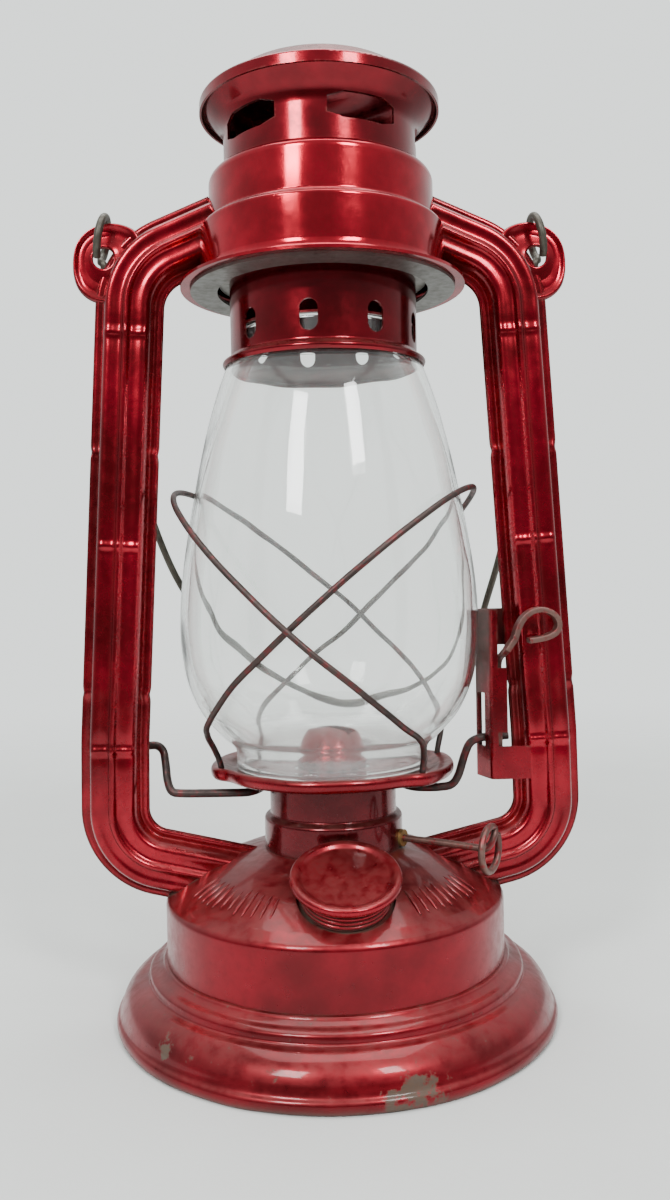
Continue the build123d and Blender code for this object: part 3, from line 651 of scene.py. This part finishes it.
def stamped_half(name, side, face):
    """One stamping. side is 1 on the lantern's right, face is 1 for the front half."""
    line, ways = bent_line(TUBE_LINE, TUBE_BENDS, 0.8)
    heights = line[:, 1]
    upright = (line[:, 0] > UPRIGHT_FROM).astype(float)
    beads = sum(hill(heights, z, 0.85) for z in BEAD_HEIGHTS) * upright
    beside = sum(hill(heights, z, 3.0) for z in BEAD_HEIGHTS) * upright
    crimps = sum(hill(heights, z, 1.1) for z in CRIMP_HEIGHTS) * upright
    fold = FRONT_FOLD if face > 0 else REAR_FOLD
    points = []
    for (x, z), (way_x, way_z), bead, flat, crimp in zip(line, ways, beads, beside, crimps):
        out = np.array([-way_z, way_x])
        out = out if out @ np.array([x, z - 130.0]) > 0 else -out
        for s, depth in SECTION:
            on_body = 1.0 / (1.0 + (abs(s) / 6.3) ** 16)
            ridge = hill(s, 0.0, 0.8)
            if abs(s) > 6.95:
                depth = fold * depth + CRIMP_RISE * crimp
                s = s * (1.0 - CRIMP_NARROWS * crimp)
            over_ridge = 0.25 * ridge * flat - 0.2 * bead * ridge
            depth += on_body * (BEAD_RISE * bead - BEAD_FLAT * flat + over_ridge)
            spot = np.array([x + out[0] * s, 0.0, z + out[1] * s])
            dent = 0.10 * wobble(spot + (side * 40, face * 25, 0), 14)
            dent += 0.03 * wobble(spot + (side * 9, 0, 0), 4)
            depth += on_body * dent
            if spot[2] > EAR[1]:
                spot[0] = max(spot[0], math.sqrt(TUBE_END_R ** 2 - depth ** 2))
            points.append((side * spot[0], -face * depth, spot[2]))
    faces = grid_faces(len(line), len(SECTION))
    ear_points, ear_rows, ear_columns = stamped_ear(side, face)
    faces += grid_faces(ear_rows, ear_columns, len(points), around=True)
    piece = piece_from(name, points + ear_points, faces, "tube")
    turn_faces(piece, face)
    thicken(piece, STAMPING_WALL)
    return piece


# %% The ears: dished lobes with a rolled rim and a round hole
LOBE = {-180: 9.0, -135: 12.0, -100: 13.0, -60: 12.0, -25: 9.2, 0: 8.3, 40: 8.5, 75: 9.0, 100: 9.9,
        125: 11.0, 150: 12.5, 180: 9.0}


def stamped_ear(side, face):
    """Points of the lobe, ring by ring out from its hole, with the angle measured from outwards."""
    around, rings = 96, 16
    turns = np.linspace(-180, 180, around, endpoint=False)
    angles, reaches = zip(*sorted(LOBE.items()))
    reach = np.interp(turns, angles, reaches)
    reach = np.convolve(np.concatenate([reach[-6:], reach, reach[:6]]), np.ones(9) / 9, "same")[6:-6]
    points = []
    for k in range(rings):
        share = k / (rings - 1)
        for turn, rim in zip(np.radians(turns), reach):
            r = EAR_HOLE_R + (rim - EAR_HOLE_R) * share
            free = 1.0 / (1.0 + math.exp((abs(turn) - 1.9) * 5))
            dish = 0.9 - 0.75 * hill(share, 0.55, 0.33) + 0.5 * hill(share, 0.92, 0.12)
            drop = 0.8 * max(0.0, (share - 0.95) / 0.05)
            lip = 0.35 * hill(share, 0.0, 0.10)
            depth = dish + lip - drop + 0.25 * (1 - free)
            x, z = EAR[0] + r * math.cos(turn), EAR[1] + r * math.sin(turn)
            points.append((side * x, -face * (depth if face > 0 else 0.6 * depth), z))
    return points, rings, around


# %% The four stampings
for side, side_name in ((1, "right"), (-1, "left")):
    for face, face_name in ((1, "front"), (-1, "rear")):
        node = f"{side_name}_tube_{face_name}"
        stamping = stamped_half(f"{node}_stamping", side, face)
        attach(stamping, "frame")
        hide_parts(node)
        print(stamping.name, len(stamping.data.polygons), "faces")

# %% [markdown]
# ## Round pressings and repeated details
# A round pressing is its outline spun about an axis, and holes, ribs and threads repeat one small
# shape by a rule. Both are jobs for Geometry Nodes: a tree is a recipe with named sizes, so one spins
# the globe, the filler cap and the skirt, and another winds the cap's thread and the spring.

# %% Helpers for recipes


def recipe(name, **inputs):
    """Empty geometry tree with named inputs and a material. Returns it with its start and end nodes."""
    tree = bpy.data.node_groups.new(name, "GeometryNodeTree")
    tree.interface.new_socket("Geometry", in_out="INPUT", socket_type="NodeSocketGeometry")
    tree.interface.new_socket("Geometry", in_out="OUTPUT", socket_type="NodeSocketGeometry")
    for label, kind in {**inputs, "Material": "Material"}.items():
        tree.interface.new_socket(label, in_out="INPUT", socket_type="NodeSocket" + kind)
    return tree, tree.nodes.new("NodeGroupInput").outputs, tree.nodes.new("NodeGroupOutput")


def finish_recipe(tree, made, end, material):
    whole = add(tree, "GeometryNodeRealizeInstances", {"Geometry": made})
    smooth = add(tree, "GeometryNodeSetShadeSmooth", {"Geometry": whole})
    coat = add(tree, "GeometryNodeSetMaterial", {"Geometry": smooth, "Material": material})
    tree.links.new(coat.outputs[0], end.inputs[0])
    return tree


def made_plain(name, base):
    """Plain mesh object of what base comes to, in place of base."""
    graph = bpy.context.evaluated_depsgraph_get()
    mesh = bpy.data.meshes.new_from_object(base.evaluated_get(graph), depsgraph=graph)
    bpy.data.objects.remove(base)
    mesh.name = name
    return put(name, mesh)


def cook(name, tree, values, finish, start=None):
    """Runs a recipe on a mesh, or on nothing, and returns the plain result as a new piece."""
    base = start or put(name, bpy.data.meshes.new(name))
    nodes_modifier = base.modifiers.new("recipe", "NODES")
    nodes_modifier.node_group = tree
    sockets = {item.name: item.identifier for item in tree.interface.items_tree
               if item.item_type == "SOCKET" and item.in_out == "INPUT"}
    for label, value in values.items():
        nodes_modifier[sockets[label]] = value
    nodes_modifier[sockets["Material"]] = FINISH[finish]
    piece = made_plain(name, base)
    print(name, len(piece.data.polygons), "faces")
    return piece


def stands_for(piece, body, node):
    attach(piece, body)
    if node:
        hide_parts(node)


# %% The lathe: an outline object spun about the Z axis
LATHE_RADIUS = 0.1
CLOUD_SCALE = 45.0


def lathe_recipe():
    tree, given, end = recipe("lathe", Outline="Object", Segments="Int", Unevenness="Float", Scale="Float")
    shape = add(tree, "GeometryNodeObjectInfo", {"Object": given["Outline"]}).outputs["Geometry"]
    outline = add(tree, "GeometryNodeMeshToCurve", {"Mesh": shape}).outputs[0]
    circle = add(tree, "GeometryNodeCurvePrimitiveCircle", {
        "Resolution": given["Segments"], "Radius": LATHE_RADIUS})
    spun = add(tree, "GeometryNodeCurveToMesh", {
        "Curve": circle, "Profile Curve": outline}).outputs[0]
    place = add(tree, "GeometryNodeInputPosition").outputs[0]
    clouds = add(tree, "ShaderNodeTexNoise", {
        "Vector": place, "Scale": given["Scale"], "Detail": 1.0}).outputs["Fac"]
    centred = calc(tree, "SUBTRACT", clouds, 0.5)
    push = times(tree, centred, given["Unevenness"])
    normal = add(tree, "GeometryNodeInputNormal").outputs[0]
    shove = add(tree, "ShaderNodeVectorMath", {0: normal, "Scale": push}, operation="SCALE").outputs[0]
    moved = add(tree, "GeometryNodeSetPosition", {"Geometry": spun, "Offset": shove}).outputs[0]
    return finish_recipe(tree, moved, end, given["Material"])


LATHE = lathe_recipe()


def spin(name, outline, finish, segments, uneven=0.0):
    """Spins a closed line of (radius, height) points, taken down the outside of the piece, about Z."""
    mesh = bpy.data.meshes.new(name + "_outline")
    edges = [(k, k + 1) for k in range(len(outline) - 1)] + [(len(outline) - 1, 0)]
    mesh.from_pydata([(r * mm - LATHE_RADIUS, -z * mm, 0) for r, z in outline], edges, [])
    guide = bpy.data.objects.new(name + "_outline", mesh)
    piece = cook(name, LATHE, {
        "Outline": guide, "Segments": segments, "Unevenness": uneven * mm, "Scale": CLOUD_SCALE}, finish)
    bpy.data.objects.remove(guide)
    return piece


def walled(outer, wall):
    """Closed outline of a sheet: the outer line and, back up, the inner one."""
    outer = np.array(outer, float)
    way = np.gradient(outer, axis=0)
    way /= np.linalg.norm(way, axis=1)[:, None]
    inner = outer + np.column_stack([way[:, 1], -way[:, 0]]) * wall
    return np.vstack([outer, inner[::-1]])


# %% [markdown]
# ## Globe
# The globe is pressed glass, so it is never quite even: a ripple of a few hundredths of a millimetre
# bends the highlights the way real glass does. It stands on a short foot and narrows to a straight
# neck inside the hood.

# %% The globe
GLOBE_OUTLINE = [(24.7, 122.7), (24.7, 119.5), (24.75, 117.8), (25.3, 116.0), (26.6, 114.1),
                 (28.2, 111.8), (31.9, 101.0), (35.0, 89.0), (37.7, 75.8), (39.8, 64.5), (41.5, 52.5),
                 (42.2, 40.0), (41.6, 31.0), (39.9, 23.4), (36.3, 15.6), (30.9, 9.4), (28.6, 7.4),
                 (27.4, 5.6), (27.2, 3.6), (27.3, 0.9), (27.0, 0.25), (26.4, 0.0)]
GLASS_WALL, GLASS_UNEVEN = 1.8, 0.25
globe_foot = size_of("globe")[0].z
outer_glass = smooth_curve(GLOBE_OUTLINE, 120) + (0, globe_foot)
glass = spin("globe_glass", walled(outer_glass, GLASS_WALL), "glass", 192, uneven=GLASS_UNEVEN)
stands_for(glass, "carriage", "globe")

# %% [markdown]
# ## Filler cap
# The cap is a dished disc with a rolled rim over a narrower skirt, and the thread is pressed out of the
# skirt from inside, so it shows as a soft ridge winding round it. A spiral run through a tube makes the
# ridge, and both pieces are stood on the tilted axis of the filler.

# %% The filler cap
cap_joint = next(j for j in frame["joints"] if j["name"] == "cap_turn")
filler_axis = Vector(cap_joint["axis"])
filler_top = Vector(cap_joint["pos_m"])
ON_FILLER = Matrix.Translation(filler_top) @ filler_axis.to_track_quat("Z", "Y").to_matrix().to_4x4()
CAP_FACE = [(0.0, -1.15), (6.0, -1.2), (10.6, -1.05), (11.6, -0.75), (12.3, -0.15), (13.0, 0.0),
            (13.9, -0.15), (14.35, -0.8), (14.4, -1.5), (14.1, -2.1), (13.4, -2.3), (12.4, -2.15),
            (11.7, -2.3), (11.35, -2.8), (11.3, -4.0), (11.3, -8.0), (11.5, -8.35)]
CAP_WALL = 0.5
THREAD_TURNS, THREAD_R, THREAD_RISE, THREAD_RIDGE = 3.9, 11.25, 5.0, 0.52
THREAD_FOOT = -8.0


def thread_recipe():
    tree, given, end = recipe("thread", Turns="Float", Radius="Float", Height="Float", Ridge="Float")
    spiral = add(tree, "GeometryNodeCurveSpiral", {
        "Resolution": 64, "Rotations": given["Turns"], "Start Radius": given["Radius"],
        "End Radius": given["Radius"], "Height": given["Height"]})
    bead = add(tree, "GeometryNodeCurvePrimitiveCircle", {"Resolution": 10, "Radius": given["Ridge"]})
    ridge = add(tree, "GeometryNodeCurveToMesh", {
        "Curve": spiral, "Profile Curve": bead, "Fill Caps": True})
    return finish_recipe(tree, ridge.outputs[0], end, given["Material"])


THREAD = thread_recipe()
cap_body = spin("filler_cap_body", walled(smooth_curve(CAP_FACE, 90), CAP_WALL), "cap", 128)
thread = cook("filler_cap_thread", THREAD, {
    "Turns": THREAD_TURNS, "Radius": THREAD_R * mm, "Height": THREAD_RISE * mm,
    "Ridge": THREAD_RIDGE * mm}, "cap")
thread.data.transform(Matrix.Translation((0, 0, THREAD_FOOT * mm)))
for piece in (cap_body, thread):
    piece.data.transform(ON_FILLER)
stands_for(cap_body, "filler_cap", "filler_cap")
stands_for(thread, "filler_cap", None)

# %% [markdown]
# ## Hood spring
# A coil of thin wire in the drum presses the hood down on the globe. The recipe of the thread winds
# it, in two lengths that meet at the globe's top.

# %% The two lengths of the spring
SPRING_R, SPRING_WIRE_R = 28.6, 0.5
HALF_TURNS = 2.0
spring_low, spring_high = (corner.z for corner in size_of("hood_spring"))
SPRING_SPLIT = spring_high - 0.45 * (spring_high - spring_low)
for name, foot, top, bodies in (
        ("hood_spring_upper", SPRING_SPLIT, spring_high - SPRING_WIRE_R, ("frame", "carriage")),
        ("hood_spring_lower", spring_low + SPRING_WIRE_R, SPRING_SPLIT, ("carriage", "crown"))):
    coil = cook(name, THREAD, {
        "Turns": HALF_TURNS, "Radius": SPRING_R * mm, "Height": (top - foot) * mm,
        "Ridge": SPRING_WIRE_R * mm}, "spring")
    coil.data.transform(Matrix.Translation((0, 0, foot * mm)))
    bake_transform(coil)
    if bodies[0] == "frame":
        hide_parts("hood_spring")

# %% [markdown]
# ## Ornament on the tank
# The tank's shoulder is embossed. Here that is a plain band of short ribs on each side of the filler,
# each a soft bead lying down the slope, repeated along an arc.

# %% The ribs
RIB = (4.3, 0.62, 0.75)
RIB_SMALLEST, RIB_LARGEST = 0.8, 1.1
RIB_RING = 38.6
RIB_SLOPE = math.radians(29)
RIB_HEIGHT = 40.15
RIB_ARCS = ((-157.0, -116.0, 12), (-62.0, -28.0, 10))


def rib_recipe():
    tree, given, end = recipe("radial_ribs", Count="Int", Radius="Float", First="Float", Sweep="Float",
                              Slope="Float", Rib="Vector")
    arc = add(tree, "GeometryNodeCurveArc", {
        "Resolution": given["Count"], "Radius": given["Radius"], "Start Angle": given["First"],
        "Sweep Angle": given["Sweep"]}, mode="RADIUS")
    spots = add(tree, "GeometryNodeCurveToPoints", {"Curve": arc}, mode="EVALUATED")
    ball = add(tree, "GeometryNodeMeshUVSphere", {"Segments": 16, "Rings": 10, "Radius": 1.0})
    bead = add(tree, "GeometryNodeTransform", {"Geometry": ball, "Scale": given["Rib"]})
    place = add(tree, "ShaderNodeSeparateXYZ", {0: add(tree, "GeometryNodeInputPosition").outputs[0]})
    bearing = calc(tree, "ARCTAN2", place.outputs["Y"], place.outputs["X"])
    jitter = add(tree, "FunctionNodeRandomValue", {"Seed": 3}, data_type="FLOAT")
    jitter.inputs[2].default_value = RIB_SMALLEST
    jitter.inputs[3].default_value = RIB_LARGEST
    lean = add(tree, "ShaderNodeCombineXYZ", {"Y": given["Slope"], "Z": bearing}).outputs[0]
    beads = add(tree, "GeometryNodeInstanceOnPoints", {
        "Points": spots.outputs["Points"], "Instance": bead, "Rotation": lean,
        "Scale": jitter.outputs[1]})
    return finish_recipe(tree, beads.outputs[0], end, given["Material"])


ribs_tree = rib_recipe()
for number, (first, last, count) in enumerate(RIB_ARCS, 1):
    band = cook(f"tank_ribs_{number}", ribs_tree, {
        "Count": count, "Radius": RIB_RING * mm, "First": math.radians(first),
        "Sweep": math.radians(last - first), "Slope": RIB_SLOPE, "Rib": [v * mm for v in RIB]}, "tank")
    band.data.transform(Matrix.Translation((0, 0, RIB_HEIGHT * mm)))
    stands_for(band, "frame", None)

# %% [markdown]
# ## Base skirt
# The foot of the lantern takes the knocks, and a worn pressing is never perfectly round. So the skirt
# is spun again on the lathe, with softer corners than the working piece and with a little unevenness.

# %% The base skirt
SKIRT_OUTLINE = [(45.0, 17.7), (48.4, 17.7), (49.2, 17.0), (50.4, 16.1), (51.8, 15.5), (52.7, 14.8),
                 (53.0, 13.8), (53.2, 12.9), (54.0, 12.5), (55.6, 12.0), (57.6, 10.6), (59.2, 8.8),
                 (60.3, 6.7), (60.9, 4.8), (61.3, 3.9), (61.9, 3.3), (62.25, 2.4), (62.2, 1.3),
                 (61.9, 0.5), (61.3, 0.05), (60.6, 0.3)]
SKIRT_WALL, SKIRT_UNEVEN = 0.6, 0.7
skirt_outline = walled(smooth_curve(SKIRT_OUTLINE, 110), SKIRT_WALL)
skirt = spin("base_skirt_spun", skirt_outline, "skirt", 256, uneven=SKIRT_UNEVEN)
stands_for(skirt, "frame", "base_skirt")

# %% [markdown]
# ## Globe plate
# The globe stands on a shallow dish. Its rim is rolled over, a channel holds the foot of the glass, and
# two ears reach out where the guard wires are hooked in. The plate is its section carried round an
# outline that swells at the ears, and a recipe then drills a ring of air holes through it.

# %% The dish
PLATE_R, PLATE_EAR_R = 31.5, 34.6
PLATE_TURN = math.radians(-16.0)
PLATE_WALL, PLATE_DENT = 0.55, 0.22
plate_z = (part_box("globe")[0].z) / mm
PLATE_SECTION = [(10.6, -0.45), (11.1, 0.0), (14.0, 0.0), (23.0, 0.0), (24.6, 0.35), (25.8, 0.0),
                 (28.4, -0.1), (29.3, 0.9), (30.2, 1.35), (31.0, 1.15), (31.5, 0.3), (31.45, -0.9),
                 (30.9, -1.9), (29.9, -2.3), (29.2, -2.0)]


def ear_swell(turn):
    """0 away from the ears, 1 at their middles."""
    off = abs((turn - PLATE_TURN + math.pi / 2) % math.pi - math.pi / 2)
    return 1.0 / (1.0 + math.exp((math.degrees(off) - 33.0) / 2.2))


def dished_plate():
    section = smooth_curve(PLATE_SECTION, 60)
    around = 240
    points = []
    for r, z in section:
        for k in range(around):
            turn = 2 * math.pi * k / around
            at_rim = min(1.0, max(0.0, (r - 28.6) / 1.5))
            reach = r + (PLATE_EAR_R - PLATE_R) * ear_swell(turn) * at_rim
            x, y = reach * math.cos(turn), reach * math.sin(turn)
            points.append((x, y, plate_z + z + PLATE_DENT * wobble((x, y, z), 11, 5.0)))
    plate = piece_from("globe_plate_dish", points, grid_faces(len(section), around, 0, True), "small")
    for face in plate.data.polygons:
        face.flip()
    thicken(plate, PLATE_WALL)
    return plate


# %% The air holes
HOLES, HOLE_RING, HOLE_R, DRILL = 10, 20.0, 1.5, 6.0


def drill_recipe():
    tree, given, end = recipe("ring_of_holes", Count="Int", Ring="Float", Hole="Float", Height="Float")
    ring = add(tree, "GeometryNodeMeshCircle", {"Vertices": given["Count"], "Radius": given["Ring"]})
    drill = add(tree, "GeometryNodeMeshCylinder", {
        "Vertices": 20, "Radius": given["Hole"], "Depth": DRILL * mm})
    drills = add(tree, "GeometryNodeInstanceOnPoints", {
        "Points": ring, "Instance": drill})
    up = add(tree, "ShaderNodeCombineXYZ", {"Z": given["Height"]}).outputs[0]
    placed = add(tree, "GeometryNodeTransform", {"Geometry": drills, "Translation": up})
    tools = add(tree, "GeometryNodeRealizeInstances", {"Geometry": placed})
    cut = add(tree, "GeometryNodeMeshBoolean", {
        "Mesh 1": given["Geometry"], "Mesh 2": tools}, operation="DIFFERENCE", solver="EXACT")
    return finish_recipe(tree, cut.outputs[0], end, given["Material"])


plate = cook("globe_plate_dish", drill_recipe(), {
    "Count": HOLES, "Ring": HOLE_RING * mm, "Hole": HOLE_R * mm, "Height": plate_z * mm}, "small",
    start=dished_plate())
stands_for(plate, "carriage", "globe_plate")

# %% [markdown]
# ## Wires
# The guards, the bail and the winder are bent by hand from round wire, so their bends are gentle and a
# little uneven. Each is a smooth curve through a few points with a round section, made into a mesh.

# %% Bending wire
WIRE_POINTS_PER_MM = 1.2
WIRE_UNEVEN = 0.12


def wire(name, route, radius, finish):
    """Round wire through the points, with its ends closed."""
    route = [Vector(p) for p in route]
    length = sum((b - a).length for a, b in zip(route, route[1:]))
    line = smooth_curve([tuple(p) for p in route], max(8, round(length * WIRE_POINTS_PER_MM)))
    data = bpy.data.curves.new(name, "CURVE")
    data.dimensions = "3D"
    data.bevel_depth = radius * mm
    data.bevel_resolution = 5
    data.use_fill_caps = True
    spline = data.splines.new("POLY")
    spline.points.add(len(line) - 1)
    for k, (point, spot) in enumerate(zip(spline.points, line)):
        off = Vector([wobble(spot, 12, seed) for seed in (1.0, 7.0, 13.0)]) * WIRE_UNEVEN
        point.co = (*((Vector(spot) + off) * mm), 1.0)
    print(name, round(length), "mm of wire")
    return smoothed(made_plain(name, put(name, data)), finish)


def polar(r, turn, z):
    return (r * math.cos(turn), r * math.sin(turn), z)


# %% The guard wires
GUARD_WIRE_R = 0.85
GUARD_SLOPE = 0.886
GUARD_MIDDLE = 111.0
GUARD_LEAN = 2.2
GUARD_END_R = 31.7
GUARD_SPREAD = math.radians(152)
GUARD_FOOT = [(0.0, 0.0, -2.2), (0.6, 0.01, 2.4), (2.6, 0.07, 7.0), (5.8, 0.20, 11.6), (9.0, 0.40, 16.2)]


def glass_radius(z):
    heights, radii = outer_glass[::-1, 1], outer_glass[::-1, 0]
    return float(np.interp(z, heights, radii))


def guard_route(top, gap):
    """A tilted loop that keeps its gap from the glass, with both ends brought in to the plate's ears."""
    def end(sign):
        at = top + sign * GUARD_SPREAD
        return [polar(GUARD_END_R + out, at - sign * back, plate_z + up) for out, back, up in GUARD_FOOT]

    loop = []
    for degrees in range(-112, 113, 14):
        lean = math.cos(math.radians(degrees))
        r = 42.0
        for _ in range(30):
            z = GUARD_MIDDLE + GUARD_SLOPE * r * lean
            r = 0.5 * r + 0.5 * (glass_radius(z) + gap + GUARD_LEAN * max(0.0, lean) ** 2)
        loop.append(polar(r, top + math.radians(degrees), z))
    return end(-1) + loop + end(1)[::-1]


for side_name, top, gap in (("left", PLATE_TURN, 2.05), ("right", PLATE_TURN + math.pi, 3.85)):
    guard = wire(f"guard_{side_name}", guard_route(top, gap), GUARD_WIRE_R, "wire")
    stands_for(guard, "carriage", f"guard_wire_{side_name}")

# %% The bail
BAIL_WIRE_R, BAIL_EYE_R = 1.1, 6.2
BAIL_HANG_DEGREES = 22.9
BAIL_HANG, BAIL_EYE_TILT = math.radians(BAIL_HANG_DEGREES), math.radians(12.0)
bail_joint = next(j for j in frame["joints"] if j["name"] == "bail_swing")
bail_pivot = Vector(bail_joint["pos_m"]) / mm
BAIL_X = 61.5
BAIL_LOOP = [(-BAIL_X, 8), (-61.4, 22), (-60.6, 40), (-58.6, 60), (-54.6, 79), (-48, 101), (-39, 118),
             (-27, 132), (-12, 144), (2, 151), (11, 152.4), (20, 150.8), (33, 146.2), (44, 138.8),
             (50.6, 128), (54.6, 112), (58.4, 92), (60.6, 66), (61.4, 40), (BAIL_X, 22), (BAIL_X, 8)]
down = Vector((0.0, math.sin(BAIL_HANG), -math.cos(BAIL_HANG)))
eye_z = bail_pivot.z


def bail_eye(side):
    """Nearly closed ring through the ear, from the foot of the loop round."""
    lean = Matrix.Rotation(-side * BAIL_EYE_TILT, 3, "Y")
    ring = [lean @ Vector((0.0, math.sin(a), -math.cos(a))) * BAIL_EYE_R
            for a in np.radians(np.arange(10, 335, 25.0) + BAIL_HANG_DEGREES)]
    return [Vector((side * BAIL_X, 0.0, eye_z)) + spot for spot in ring]


hung = [Vector((x, 0.0, eye_z)) + down * away for x, away in BAIL_LOOP]
bail_wire = wire("bail_wire", bail_eye(-1)[::-1] + hung + bail_eye(1), BAIL_WIRE_R, "bail")
stands_for(bail_wire, "bail", "bail")

# %% The lift wire
LIFT_WIRE_R = 1.2
LIFT_Z = 62.4
LIFT_LEFT = [(-58.0, 10.0, 75.2), (-53.5, 10.0, 75.2), (-51.0, 9.9, 75.1), (-49.2, 9.2, 73.6),
             (-48.4, 7.6, 70.0), (-47.6, 5.0, 65.6), (-46.2, 2.8, 63.0), (-43.5, 2.0, LIFT_Z + 0.1)]
LIFT_BOW = [(-36.0, 1.3), (-26.0, 0.8), (-22.4, 3.2), (-19.6, 9.2), (-14.0, 15.8), (-6.0, 20.6),
            (0.0, 21.6), (6.0, 20.6), (14.0, 15.8), (19.6, 9.0), (22.8, 2.6), (26.4, 0.3)]
LIFT_RIGHT = [(31.0, -0.2, LIFT_Z + 0.1), (34.4, -0.4, LIFT_Z + 0.8), (36.4, -0.4, 66.0),
              (38.2, -0.4, 71.6), (39.8, -0.4, 75.0), (42.6, -0.4, 76.4), (46.6, -0.4, 76.7),
              (51.0, -0.4, 77.0)]
LIFT_ROUTE = LIFT_LEFT + [(x, y, LIFT_Z) for x, y in LIFT_BOW] + LIFT_RIGHT
lift = wire("lift_wire_bent", LIFT_ROUTE, LIFT_WIRE_R, "wire")
stands_for(lift, "lift_wire", "lift_wire")

# %% The winder: a shaft whose end is turned into a ring for the fingers
WINDER_WIRE_R = 0.95
RING_R = 6.0
RING_AT = 46.3
winder_joint = next(j for j in frame["joints"] if j["name"] == "winder_turn")
shaft_way = Vector(winder_joint["axis"])
shaft_side = Vector((0, 0, 1)).cross(shaft_way)


def by_shaft(along, side, up):
    return Vector(winder_joint["pos_m"]) / mm + shaft_way * along + shaft_side * side + Vector((0, 0, up))


ring_turns = np.radians(np.arange(60, 395, 22.0))
winder_route = [by_shaft(a, 0, 0) for a in (-4, 6, 16, 26, 36, 42, 45)]
winder_route += [by_shaft(RING_AT, 0.9, 1.6), by_shaft(RING_AT + 0.5, 2.0, 3.8)]
winder_route += [by_shaft(RING_AT, RING_R * math.cos(t), RING_R * math.sin(t)) for t in ring_turns]
winder = wire("winder_ring", winder_route, WINDER_WIRE_R, "lever")
stands_for(winder, "winder", "winder_shaft")

# %% [markdown]
# ## Lift lever
# The lever that raises the globe is a flat strip, not a wire: its end is bent into a finger loop, and
# its shank is set back behind the guide. So it is its side view drawn as a line, with its width across
# that line moved back where the shank is, and the strip's thickness is added last.

# %% The lift lever
LEVER_STRIP, LEVER_EDGE = 1.5, 0.3
LEVER_LINE = [(47.9, 72.7), (47.9, 82.0), (47.9, 92.0), (47.9, 98.5), (48.1, 101.6), (49.2, 103.6),
              (50.7, 105.8), (51.6, 108.6), (53.2, 111.3), (55.8, 113.2), (58.8, 113.5), (61.6, 112.2),
              (63.0, 109.7), (62.2, 107.3), (59.6, 105.9), (56.6, 105.3), (54.6, 105.0)]
SHANK_SPAN, LOOP_SPAN = (-4.0, 2.1), (-13.9, -9.6)
SHANK_TOP = 100.4


def bent_lever():
    line = smooth_curve(LEVER_LINE, 130)
    rows = 7
    points = []
    for k, (x, z) in enumerate(line):
        forward = 1.0 if k > 60 else 1.0 / (1.0 + math.exp((SHANK_TOP - z) / 0.7))
        front, back = (a + (b - a) * forward for a, b in zip(SHANK_SPAN, LOOP_SPAN))
        for across in range(rows):
            y = front + (back - front) * across / (rows - 1)
            points.append((x + 0.1 * wobble((x, y, z), 6, 3.0), y, z))
    strip = piece_from("lift_lever_bent", points, grid_faces(len(line), rows), "lever")
    thicken(strip, LEVER_STRIP, 0.0, edge=LEVER_EDGE)
    return strip


lever = bent_lever()
stands_for(lever, "lift_lever", "lift_lever")
print(lever.name, len(lever.data.polygons), "faces")
